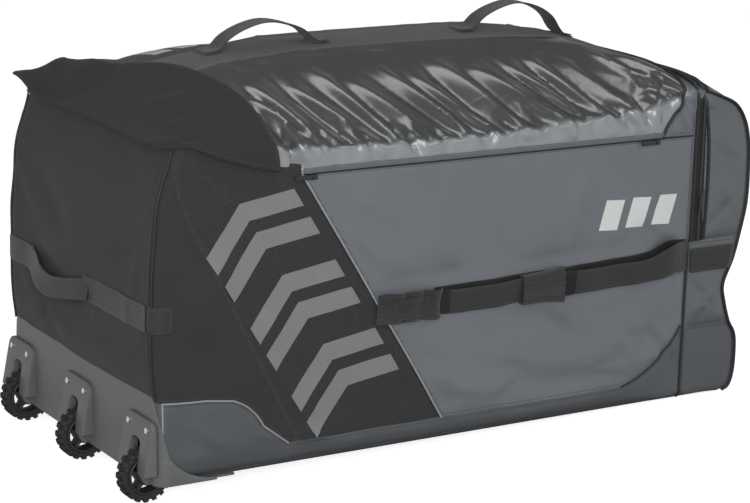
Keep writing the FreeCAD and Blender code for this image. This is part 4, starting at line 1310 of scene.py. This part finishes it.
band_dir = np.array((LID_START_X - FRONT_EDGE_X, SEAM_Z - GUARD_Z))
band_turn = math.atan2(band_dir[1], band_dir[0]) - math.pi / 2
band_mid = np.array(((BAND_FOOT_X + FRONT_EDGE_X) / 2, GUARD_Z))
band_unit = band_dir / np.linalg.norm(band_dir)
marks, bars, top_bars = Shape(), Shape(), Shape()
for k in range(3):
    for gap in (0.0, 50.0):
        centre_at = band_mid + band_unit * (86.0 + 128.0 * k + gap)
        printed(marks, front, chevron(centre_at, band_turn, 80.0, 34.0, 30.0), 7.0)
    x = 236.0 + 50.0 * k
    printed(bars, front, [(x, 292.0), (x + 34.0, 290.0), (x + 47.0, 336.0), (x + 13.0, 338.0)])
    x = -372.0 + 44.0 * k
    printed(top_bars, top, on_top([(x, 40.0), (x + 28.0, 40.0), (x + 6.0, 186.0), (x - 22.0, 186.0)]))
both_sides("band_marks", marks, grey_print)
both_sides("side_marks", bars, pale_print)
top_bars.make("lid_marks", pale_print, "lid")

# ---------------------------------------------------------------------------------------------------------
# Straps and handles

STRAP_WIDTH = 38.0
# The haul strap as places along the wall, heights and distances off it: it is tacked down in four places
STRAP_LINE = [(-151, 217, 1.6), (-140, 217, 2.5), (-118, 218, 9), (-90, 218, 10), (-64, 216, 9),
              (-52, 215, 4), (-36, 215, 8), (0, 215, 8), (97, 218, 8), (165, 219, 9), (180, 219, 4),
              (200, 219, 9), (260, 220, 9), (318, 222, 10), (345, 227, 13), (372, 236, 14), (394, 237, 8),
              (409, 236, 2.2)]


def strap_path(points, step=5.0):
    """A path off the front wall through (along, height, stand-off) points."""
    table = smooth_path(points, step)
    return front.at(table[:, :2], table[:, 2])


haul_x = smooth_path(STRAP_LINE, 5.0)[:, 0]
haul_width = STRAP_WIDTH + 10.0 * smoothstep((haul_x - 325.0) / 40.0)
haul_lean = -0.16 * smoothstep((haul_x + 120.0) / 80.0) * smoothstep((400.0 - haul_x) / 40.0)
haul_across = np.column_stack((0 * haul_lean, haul_lean, 0 * haul_lean + 1))
make_pair("haul_strap", ribbon(Shape(), strap_path(STRAP_LINE), haul_across, haul_width, 2.4), webbing)
OUTER_FOLD = [(-160, 217, 3.5), (-148, 217, 9), (-133, 218, 15), (-118, 218, 11.5), (-103, 219, 17),
              (-88, 219, 12.5), (-74, 218, 17), (-62, 217, 15.5), (-54, 217, 8)]
INNER_FOLD = [(-140, 214, 14), (-124, 216, 15), (-110, 218, 18.5), (-96, 217, 16), (-82, 216, 17.5)]
# Painted shadow: a black strip stands just above the haul strap, for the shade in the gap behind its top
# edge.
STRAP_SHADOW_LINE = [(-60, 219, 1.6), (0, 220, 1.8), (120, 223, 1.8), (250, 226, 1.8), (335, 232, 1.8),
                (372, 243, 1.8), (404, 243, 1.8)]
# Painted shadow: short black pieces just past the grip sleeve and the folded loop, for the shade in those
# gaps.
RIGHT_GAP_SHADOW = [(158, 218, 12), (174, 219, 11), (188, 219, 8.5)]
LEFT_GAP_SHADOW = [(-62, 217, 11), (-50, 217, 9), (-39, 217, 10.5)]
fold = ribbon(Shape(), strap_path(OUTER_FOLD, 3.0), (0, -0.12, 1), 46.0, 2.6, cup=3.0)
ribbon(fold, strap_path(INNER_FOLD, 3.0), (0.1, -0.2, 1), 34.0, 2.2, cup=2.0)
gap_shadows = ribbon(Shape(), strap_path(RIGHT_GAP_SHADOW, 3.0), (0, -0.1, 1), 37.0, 1.8)
ribbon(gap_shadows, strap_path(LEFT_GAP_SHADOW, 3.0), (0, -0.1, 1), 36.0, 1.8)
both_sides("strap_top_shadow", ribbon(Shape(), strap_path(STRAP_SHADOW_LINE), (0, 0, 1), 38.0, 1.6), shadow_webbing)
both_sides("strap_fold", fold, webbing)
both_sides("strap_gap_shadow", gap_shadows, shadow_webbing)


def ring_sleeve(low_x, high_x, half_height, half_depth, thick):
    """A sleeve round the strap: a rounded rectangular tube with thick walls."""
    middle = strap_path([(low_x, 218.0, 8.5), (high_x, 219.0, 9.0)], 6.0)
    outline = []
    for turn in np.linspace(0, 2 * math.pi, 28, endpoint=False):
        c, s = math.cos(turn), math.sin(turn)
        outline.append((math.copysign(abs(c) ** 0.35, c), math.copysign(abs(s) ** 0.35, s)))
    points, weave = [], []
    for k, spot in enumerate(middle):
        flare = 1.0 + 0.22 * (k / (len(middle) - 1)) ** 3
        for inner in (0.0, thick):
            deep, high = (half_depth - inner) * flare, (half_height - inner) * flare
            for n, (c, s) in enumerate(outline):
                points.append(spot + np.array((0, -c * deep, s * high)))
                weave.append((6.0 * k, n * 5.0, 4.0 + 3 * min(k, len(middle) - 1 - k)))
    n, stride, faces = len(outline), 2 * len(outline), []
    for k in range(len(middle) - 1):
        a, b = k * stride, (k + 1) * stride
        for s in range(n):
            t = (s + 1) % n
            faces += [[a + s, a + t, b + t, b + s], [a + n + s, b + n + s, b + n + t, a + n + t]]
    for a in (0, (len(middle) - 1) * stride):
        faces += [[a + s, a + (s + 1) % n, a + n + (s + 1) % n, a + n + s] for s in range(n)]
    return Shape().add(points, faces, weave)


make_pair("grip_sleeve", ring_sleeve(90.0, 165.0, 22.5, 7.2, 2.0), webbing)

END_STRAP_Z = 240.0
# The wheel end's strap in two parts, each with the place where it starts to rise towards the handle
END_STRAP_PARTS = (([(end.u[0], 240), (-160, 239), (-60, 240), (-38, 240)], -75, 1),
                   ([(142, 240), (166, 240), (200, 240), (end.u[-1], 240)], 175, -1))
end_strap = Shape()
for part, rise_y, way in END_STRAP_PARTS:
    table = smooth_path(part, 5.0)
    off = 1.6 + 3.0 * smoothstep(way * (table[:, 0] - rise_y) / 40)
    ribbon(end_strap, end.at(table, off), (0, 0, 1), STRAP_WIDTH, 2.4)
end_strap.stand_for("wheel_end_strap", webbing, "bag")
corner_path = front.at(evenly([(U_MIN + 0.5, END_STRAP_Z), (-480.0, END_STRAP_Z)], 3.0), 1.8)
both_sides("end_strap_corner", ribbon(Shape(), corner_path, (0, 0, 1), STRAP_WIDTH, 2.2), webbing)
grab = [(-522.0, -56.0, 240.0), (-527.0, -32.0, 236.0), (-534.0, 15.0, 227.0), (-537.0, 52.0, 223.0),
        (-535.0, 90.0, 228.0), (-528.0, 120.0, 237.0), (-522.0, 144.0, 241.0)]
ribbon(Shape(), smooth_path(grab, 4.0), (0.25, 0, 1), 31.0, 3.2, cup=-1.6).stand_for(
    "wheel_end_handle", webbing, "end_handle")

flank_run = smooth_path([(POCKET_X + 2, 226.5), (450, 227), (500, 227)], 5.0)
side_run = np.column_stack((flank_run[:, 0], np.full(len(flank_run), -SIDE_Y - 7.0), flank_run[:, 1]))
end_run = wrap.at([(fold_u + 31.0, y) for y in np.linspace(-SIDE_Y + 6, -119.0, 26)], 1.8)
pocket_path = smooth_path(np.vstack((side_run[:-2], end_run)), 5.0)
pocket_strap = ribbon(Shape(), pocket_path, (0.18, 0, 1), STRAP_WIDTH, 2.4)
pocket_strap.on_both_sides().stand_for("pocket_strap", webbing, "bag")
tab_path = smooth_path([(507.0, -134.0, 227.0), (512.0, -124.0, 227.0), (517.0, -112.0, 226.5)], 3.0)
tab = ribbon(Shape(), tab_path, (0.2, 0, 1), 31.0, 3.0)
tab.on_both_sides().stand_for("pull_handle_tabs", webbing, "bag")
pull = [(518.0, -112.0, 226.0), (522.0, -80.0, 226.0), (527.5, -30.0, 225.0), (528.5, 0.0, 224.5),
        (527.5, 30.0, 225.0), (522.0, 80.0, 226.0), (518.0, 112.0, 226.0)]
ribbon(Shape(), smooth_path(pull, 4.0), (0.1, 0, 1), 30.0, 3.2, cup=-1.2).stand_for(
    "pull_handle", webbing, "pull")

HANDLE_Y = -22.0
ARCHES = {"left": [(-303, 572), (-290, 584), (-262, 598), (-225, 606), (-190, 601), (-165, 591), (-150, 578)],
          "right": [(138, 579), (155, 593), (185, 606), (218, 612), (255, 604), (283, 587), (298, 567)]}
FOOT_REACH = 25.0


def on_lid(x, lift):
    """The place on the lid under the handles at x, lifted off it."""
    return top.at(on_top([(x, HANDLE_Y)]), lift)[0]


feet = Shape()
for side_name, arch in ARCHES.items():
    before = [on_lid(arch[0][0] - d, 3.4) for d in (FOOT_REACH, 17.0, 9.0)]
    after = [on_lid(arch[-1][0] + d, 3.4) for d in (9.0, 17.0, FOOT_REACH)]
    middle = [(x, HANDLE_Y, z) for x, z in arch]
    path = smooth_path(np.vstack((before, middle, after)), 4.0)
    band = ribbon(Shape(), path, (0, 1, 0), STRAP_WIDTH, 2.6, cup=1.4)
    handle = band.stand_for("top_handle_" + side_name, webbing, None)
    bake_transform(handle)
    for x, way in ((arch[0][0], -1), (arch[-1][0], 1)):
        spots = np.array([on_lid(x + way * d, 1.6) for d in np.linspace(2.0, FOOT_REACH + 3, 7)])
        ribbon(feet, spots, (0, 1, 0), STRAP_WIDTH + 3, 1.8)
feet.stand_for("handle_feet", webbing, "lid")

# ---------------------------------------------------------------------------------------------------------
# Wheels and chassis

WHEEL_X = -506.0
WHEEL_Z = 8.0
WHEELS = {"front": -207.0, "middle": 0.0, "back": 207.0}
LUGS = 18
HALF_TYRE = [(-10.6, 28.3), (-12.0, 31.0), (-12.0, 33.6), (-10.0, 35.8), (-4.0, 36.4)]
# The corners of a lug's cross-section: place across the tyre, radius, half-width and slant
LUG = ((0.9, 35.2, 4.4, 0.0), (0.9, 39.7, 3.6, 0.0), (9.8, 39.6, 3.4, 1.4), (12.3, 37.0, 3.4, 1.8),
       (12.3, 31.5, 2.6, 2.2), (9.8, 33.0, 3.6, 1.6))


def tyre(y):
    """A tyre with two staggered rows of slanting lugs."""
    profile = HALF_TYRE + [(-across, radius) for across, radius in HALF_TYRE[::-1]]
    made = lathe(Shape(), profile, (WHEEL_X, y, WHEEL_Z), 72)
    for side in (-1, 1):
        for k in range(LUGS):
            turn = (k + (0.5 if side > 0 else 0.0)) * 2 * math.pi / LUGS
            lug = np.array([(skew + way * half, side * across, radius)
                            for across, radius, half, skew in LUG for way in (-1, 1)])
            c, s = math.cos(turn), math.sin(turn)
            spots = np.column_stack((WHEEL_X + c * lug[:, 0] + s * lug[:, 2], y + lug[:, 1],
                                     WHEEL_Z - s * lug[:, 0] + c * lug[:, 2]))
            ring = [0, 2, 4, 6, 8, 10]
            faces = [ring, [i + 1 for i in ring[::-1]]]
            faces += [[a, a + 1, b + 1, b] for a, b in zip(ring, ring[1:] + ring[:1])]
            made.add(spots, faces)
    return made


def hub(y):
    """A rim and a boss joined by spokes, with a bearing seat at each end of the boss."""
    half, spokes = 12.0, 5
    rim = [(-half + 1, 28.4), (-half, 27.4), (-half, 25.0), (-half + 2, 24.0), (half - 2, 24.0),
           (half, 25.0), (half, 27.4), (half - 1, 28.4)]
    boss = [(-half, 11.1), (-half, 13.2), (-half + 1, 14.0), (half - 1, 14.0), (half, 13.2), (half, 11.1),
            (half - 7, 11.1), (half - 7, 9.0), (-half + 7, 9.0), (-half + 7, 11.1)]
    spoke = [(-3.4, 13.0), (-2.4, 19.0), (-3.4, 25.0), (3.4, 25.0), (2.4, 19.0), (3.4, 13.0)]
    made = lathe(Shape(), rim, (WHEEL_X, y, WHEEL_Z), 60)
    lathe(made, boss, (WHEEL_X, y, WHEEL_Z), 48)
    for k in range(spokes):
        turn = 2 * math.pi * k / spokes
        c, s = math.cos(turn), math.sin(turn)
        outline = [(WHEEL_X + c * a + s * b, WHEEL_Z - s * a + c * b) for a, b in spoke]
        prism(made, outline, y - half + 3, y + half - 3)
    return made


def rounded(points, radius, count=5):
    """A closed outline with its corners rounded: one radius for all, or one for each."""
    made = []
    radii = radius if isinstance(radius, (list, tuple)) else [radius] * len(points)
    for before, here, after, r in zip(points[-1:] + points[:-1], points, points[1:] + points[:1], radii):
        a, b, c = (np.array(p, float) for p in (before, here, after))
        if r <= 0:
            made.append(tuple(b))
            continue
        into, out = (a - b) / np.linalg.norm(a - b), (c - b) / np.linalg.norm(c - b)
        for t in np.linspace(0, 1, count + 1):
            made.append(tuple(b + into * r * (1 - t) ** 2 + out * r * t ** 2))
    return made


HOUSING_TOP_Z = 95.0
HOUSING_LEAN = 13.0 / 79.0   # how far the housing's face leans in for each millimetre up


def housing(y):
    """The wheel's housing on the end plate: a leaning block with a slot for the wheel."""
    corners = [(y - 46, 16), (y - 43, HOUSING_TOP_Z), (y + 43, HOUSING_TOP_Z), (y + 46, 16), (y + 19.5, 16),
               (y + 15, 34), (y + 15, 65), (y - 15, 65), (y - 15, 34), (y - 19.5, 16)]
    outline = rounded(corners, [4, 16, 16, 4, 2, 0, 13, 13, 0, 2])

    def leaning(points):
        out = points[:, 0] < END_X - 1
        points[out, 0] = END_X - 6 - (HOUSING_TOP_Z - points[out, 2]) * HOUSING_LEAN
        return points

    return prism(Shape(), outline, END_X - 10, END_X - 0.2, axis="x", turn=leaning)


WING_Z = 96.0             # top of the chassis wing where it leaves the end plate
WING_TIP_X = -416.0


def wing_top(x):
    """Upper edge of the chassis wing along the side."""
    curve = [(END_X, WING_Z)] + arc((END_X, WING_Z), (-481.0, 31.0), (WING_TIP_X, 4.0), 10)
    return float(np.interp(x, *zip(*curve)))


def chassis():
    """The end plate running round its corners into the side wings, slotted for the wheels, and the wells."""
    corner, wall, wide = 20.0, 3.6, SIDE_Y + 4.5
    plan = [(x, -wide) for x in np.linspace(WING_TIP_X, END_X + corner, 16)]
    cut = corner * (1 - math.sqrt(0.5))
    plan += arc((END_X + corner, -wide), (END_X + cut, -wide + cut), (END_X, -wide + corner), 7)
    cuts = sorted(y + side * 15.0 for y in WHEELS.values() for side in (-1, 1))
    stops = [-wide + corner] + cuts + [wide - corner]
    for a, b in zip(stops, stops[1:]):
        plan += [(END_X, y) for y in np.linspace(a, b, max(2, round((b - a) / 12) + 1))[1:]]
    plan += [(x, -y) for x, y in plan[:22][::-1]]
    plan = np.array(plan)
    count = len(plan)
    tangent = np.gradient(plan, axis=0)
    inward = np.column_stack((-tangent[:, 1], tangent[:, 0]))
    inward *= -1 / np.linalg.norm(inward, axis=1)[:, None]
    if inward[count // 2][0] < 0:
        inward = -inward
    tops = []
    for x, y in plan:
        step_up = (CHASSIS_Z - WING_Z) * float(smoothstep((END_X + 22 - x) / 22))
        tops.append(wing_top(x) + step_up if abs(y) > SIDE_Y - 16 else CHASSIS_Z)
    levels = [0.0, 0.06, 0.3, 58.0 / CHASSIS_Z, 0.7, 0.94, 1.0]
    grid, inner = [], []
    for k in range(count):
        for level in levels:
            z = level * tops[k]
            swell = math.sin(math.pi * level)
            grid.append((*(plan[k] - inward[k] * swell), z))
            inner.append((*(plan[k] + inward[k] * wall), z))
    n = len(levels)
    total = count * n
    holes = set()
    for k in range(count - 1):
        middle_y = (plan[k][1] + plan[k + 1][1]) / 2
        if plan[k][0] < END_X + 0.1 and any(abs(middle_y - y) < 15 for y in WHEELS.values()):
            holes |= {(k, 0), (k, 1), (k, 2)}
    cells = [(k, r) for k in range(count - 1) for r in range(n - 1) if (k, r) not in holes]
    faces, sides = [], set()
    for k, r in cells:
        quad = [k * n + r, (k + 1) * n + r, (k + 1) * n + r + 1, k * n + r + 1]
        faces += [quad, [i + total for i in quad[::-1]]]
        sides |= set(zip(quad, quad[1:] + quad[:1]))
    faces += [[b, a, a + total, b + total] for a, b in sides if (b, a) not in sides]
    made = Shape().add(grid + inner, faces)
    well_x = -458.0
    tray = [(END_X + wall, -249.0)]
    for y in WHEELS.values():
        tray += [(END_X + wall, y - 19), (well_x, y - 19), (well_x, y + 19), (END_X + wall, y + 19)]
    prism(made, tray + [(END_X + wall, 249.0), (-385.0, 249.0), (-385.0, -249.0)], 0.3, 3.5, axis="z")
    for y in WHEELS.values():
        cheek = [(well_x, 0.0), (well_x, 58.0), (END_X - 6.5, 58.0), (END_X - 14.8, 19.5), (-519.0, 6.0),
                 (-512.0, -1.5), (-503.0, -3.0), (-488.0, 0.0)]
        for side in (-1, 1):
            a, b = sorted((y + side * 15, y + side * 19))
            prism(made, cheek, a, b)
        block(made, (END_X + wall, well_x), (y - 15, y + 15), (54.5, 57.8))
        block(made, (well_x - 3.5, well_x), (y - 15, y + 15), (0.2, 54.5))
    return made


for side_name, y in WHEELS.items():
    body = "wheel_" + side_name
    tyre(y).stand_for("tyre_" + side_name, rubber, body, crease=30, bevel=0.5)
    hub(y).stand_for("wheel_hub_" + side_name, hub_plastic, body, bevel=0.5)
    housing(y).stand_for("wheel_housing_" + side_name, chassis_plastic, "bag", crease=50, bevel=1.6)
chassis().stand_for("wheel_chassis", chassis_plastic, "bag", crease=35, bevel=0.9)

# ---------------------------------------------------------------------------------------------------------
# Zip parts


def slider(x0, z0, hangs):
    """A zip slider with a bridge and a pull tab, on the front wall. The tab hangs, or lies along the seam."""
    made = block(Shape(), (x0 - 6, x0 + 6), (-SIDE_Y - 4.4, -SIDE_Y - 0.6), (z0 - 8.5, z0 - 0.5))
    block(made, (x0 - 2, x0 + 2), (-SIDE_Y - 6.2, -SIDE_Y - 4.2), (z0 - 7.5, z0 - 1.5))
    if hangs:
        tab = [(x0 - 4, z0 - 34), (x0 + 4, z0 - 34), (x0 + 3, z0 - 7), (x0 - 3, z0 - 7)]
    else:
        tab = [(x0 - 30, z0 - 8.5), (x0 - 4, z0 - 7.5), (x0 - 4, z0 - 1.5), (x0 - 30, z0 - 0.5)]
    return prism(made, rounded(tab, 2.2, 3), -SIDE_Y - 6.0, -SIDE_Y - 4.4)


for side_name, x in (("left", -268.0), ("right", 336.0)):
    slider(x, SEAM_Z, False).stand_for("lid_zip_slider_" + side_name, zip_plastic, "lid_slider_" + side_name,
                                       bevel=0.5)
slider(ZIP_X, 338.0, True).stand_for("pocket_zip_slider", zip_plastic, "pocket_slider", bevel=0.5)
zip_tape = Shape()
wall_line = evenly([(-284.0, 417.0), (LID_X, 417.0)], 8.0)
ribbon(zip_tape, front.at(wall_line, -4.2), (0, 0, 1), 17.0, 1.0, columns=4)
end_line = evenly([(-200.0, 463.0), (200.0, 463.0)], 8.0)
ribbon(zip_tape, end.at(end_line, -4.2), (0, 0, 1), 16.0, 1.0, columns=4)
zip_tape.stand_for("lid_zip_tape", tape, "bag")

# CAD pieces that are shown as they are
KEPT = {"bottom_board": board, "housing_rivets": rivet_metal}
for side_name in WHEELS:
    KEPT["wheel_axle_" + side_name] = steel
    KEPT["wheel_bearings_" + side_name] = steel
for node, finish in KEPT.items():
    for one in frame["nodes"][node].material_slots:
        one.link = "OBJECT"
        one.material = finish.material

# ---------------------------------------------------------------------------------------------------------
# Stage, lights and camera


FLOOR_GLOW = 0.80         # the paper floor is lit on its own, so that it stays white in the picture


def floor_finish():
    finish = Finish("floor", None, 0.85)
    place = finish.space()
    finish.colour(finish.mix(finish.noise(place, 400.0), (0.93, 0.93, 0.93), (0.96, 0.96, 0.96)))
    finish.shader.inputs["Emission Color"].default_value = (1.0, 1.0, 1.0, 1.0)
    finish.shader.inputs["Emission Strength"].default_value = FLOOR_GLOW
    return finish.done()


floor_mesh = bpy.data.meshes.new("floor")
reach = 14.0
floor_corners = [(-reach, -reach, 0), (reach, -reach, 0), (reach, reach, 0), (-reach, reach, 0)]
floor_mesh.from_pydata(floor_corners, [], [(0, 1, 2, 3)])
floor_mesh.materials.append(floor_finish().material)
floor = bpy.data.objects.new("floor", floor_mesh)
bpy.context.scene.collection.objects.link(floor)
floor.visible_diffuse = False
floor.visible_glossy = False


def lamp(name, place, target, size, power):
    data = bpy.data.lights.new(name, "AREA")
    data.shape = "RECTANGLE"
    data.size, data.size_y = size
    data.energy = power
    obj = bpy.data.objects.new(name, data)
    bpy.context.scene.collection.objects.link(obj)
    obj.location = place
    obj.rotation_mode = "QUATERNION"
    obj.rotation_quaternion = (Vector(target) - Vector(place)).to_track_quat("-Z", "Y")
    return obj


lamp("key", (-2.0, -3.1, 1.3), (0.0, 0.0, 0.25), (2.4, 1.4), 80.0)
lamp("strip_box", (1.7, -2.1, 2.2), (0.0, 0.0, 0.45), (2.4, 0.8), 17.0)
lamp("end", (-3.4, 0.6, 1.3), (-0.5, 0.0, 0.3), (1.6, 1.6), 12.0)
sheen_box = lamp("sheen_box", (-0.2, -0.25, 2.9), (0.0, 0.0, 0.5), (1.9, 1.2), 26.0)
sheen_box.visible_diffuse = False

# How bright the studio is by the upward part of a direction, from straight down to straight up
STUDIO = ((0.0, 0.06), (0.26, 0.14), (0.33, 0.70), (0.46, 0.70), (0.54, 0.34), (0.72, 0.30), (0.86, 0.14),
          (1.0, 0.16))


def studio_world():
    """White behind the bag. For light and reflections, a bright band by the horizon and a dim ceiling."""
    world = bpy.data.worlds.new("studio")
    world.use_nodes = True
    nodes, links = world.node_tree.nodes, world.node_tree.links
    background = nodes["Background"]
    background.inputs["Color"].default_value = (1.0, 1.0, 1.0, 1.0)
    height = nodes.new("ShaderNodeSeparateXYZ")
    links.new(nodes.new("ShaderNodeTexCoord").outputs["Generated"], height.inputs[0])
    place = nodes.new("ShaderNodeMapRange")
    for index, value in enumerate((0.0, -1.0, 1.0, 0.0, 1.0)):
        place.inputs[index].default_value = value
    links.new(height.outputs["Z"], place.inputs[0])
    glow = nodes.new("ShaderNodeValToRGB")
    band = glow.color_ramp
    while len(band.elements) < len(STUDIO):
        band.elements.new(0.5)
    for element, (where, level) in zip(band.elements, STUDIO):
        element.position = where
        element.color = (level, level, level, 1.0)
    links.new(place.outputs[0], glow.inputs[0])
    path = nodes.new("ShaderNodeLightPath")
    strength = nodes.new("ShaderNodeMix")
    links.new(path.outputs["Is Camera Ray"], strength.inputs[0])
    links.new(glow.outputs[0], strength.inputs[2])
    strength.inputs[3].default_value = 1.0
    links.new(strength.outputs[0], background.inputs["Strength"])
    return world


bpy.context.scene.world = studio_world()
bpy.context.scene.view_settings.view_transform = "Standard"

EYE = Vector((-1.85583, -3.05402, 1.19955))
LOOK = Vector((0.50245511, 0.8252191, -0.25797732))
ABOVE = Vector((0.1348, 0.2199, 0.9662))
camera_data = bpy.data.cameras.new("camera")
camera_data.lens = 113.949
camera_data.sensor_width = 36.0
camera = bpy.data.objects.new("camera", camera_data)
bpy.context.scene.collection.objects.link(camera)
right = LOOK.cross(ABOVE).normalized()
above = right.cross(LOOK).normalized()
camera.matrix_world = Matrix(((right.x, above.x, -LOOK.x, EYE.x), (right.y, above.y, -LOOK.y, EYE.y),
                              (right.z, above.z, -LOOK.z, EYE.z), (0.0, 0.0, 0.0, 1.0)))
bpy.context.scene.camera = camera
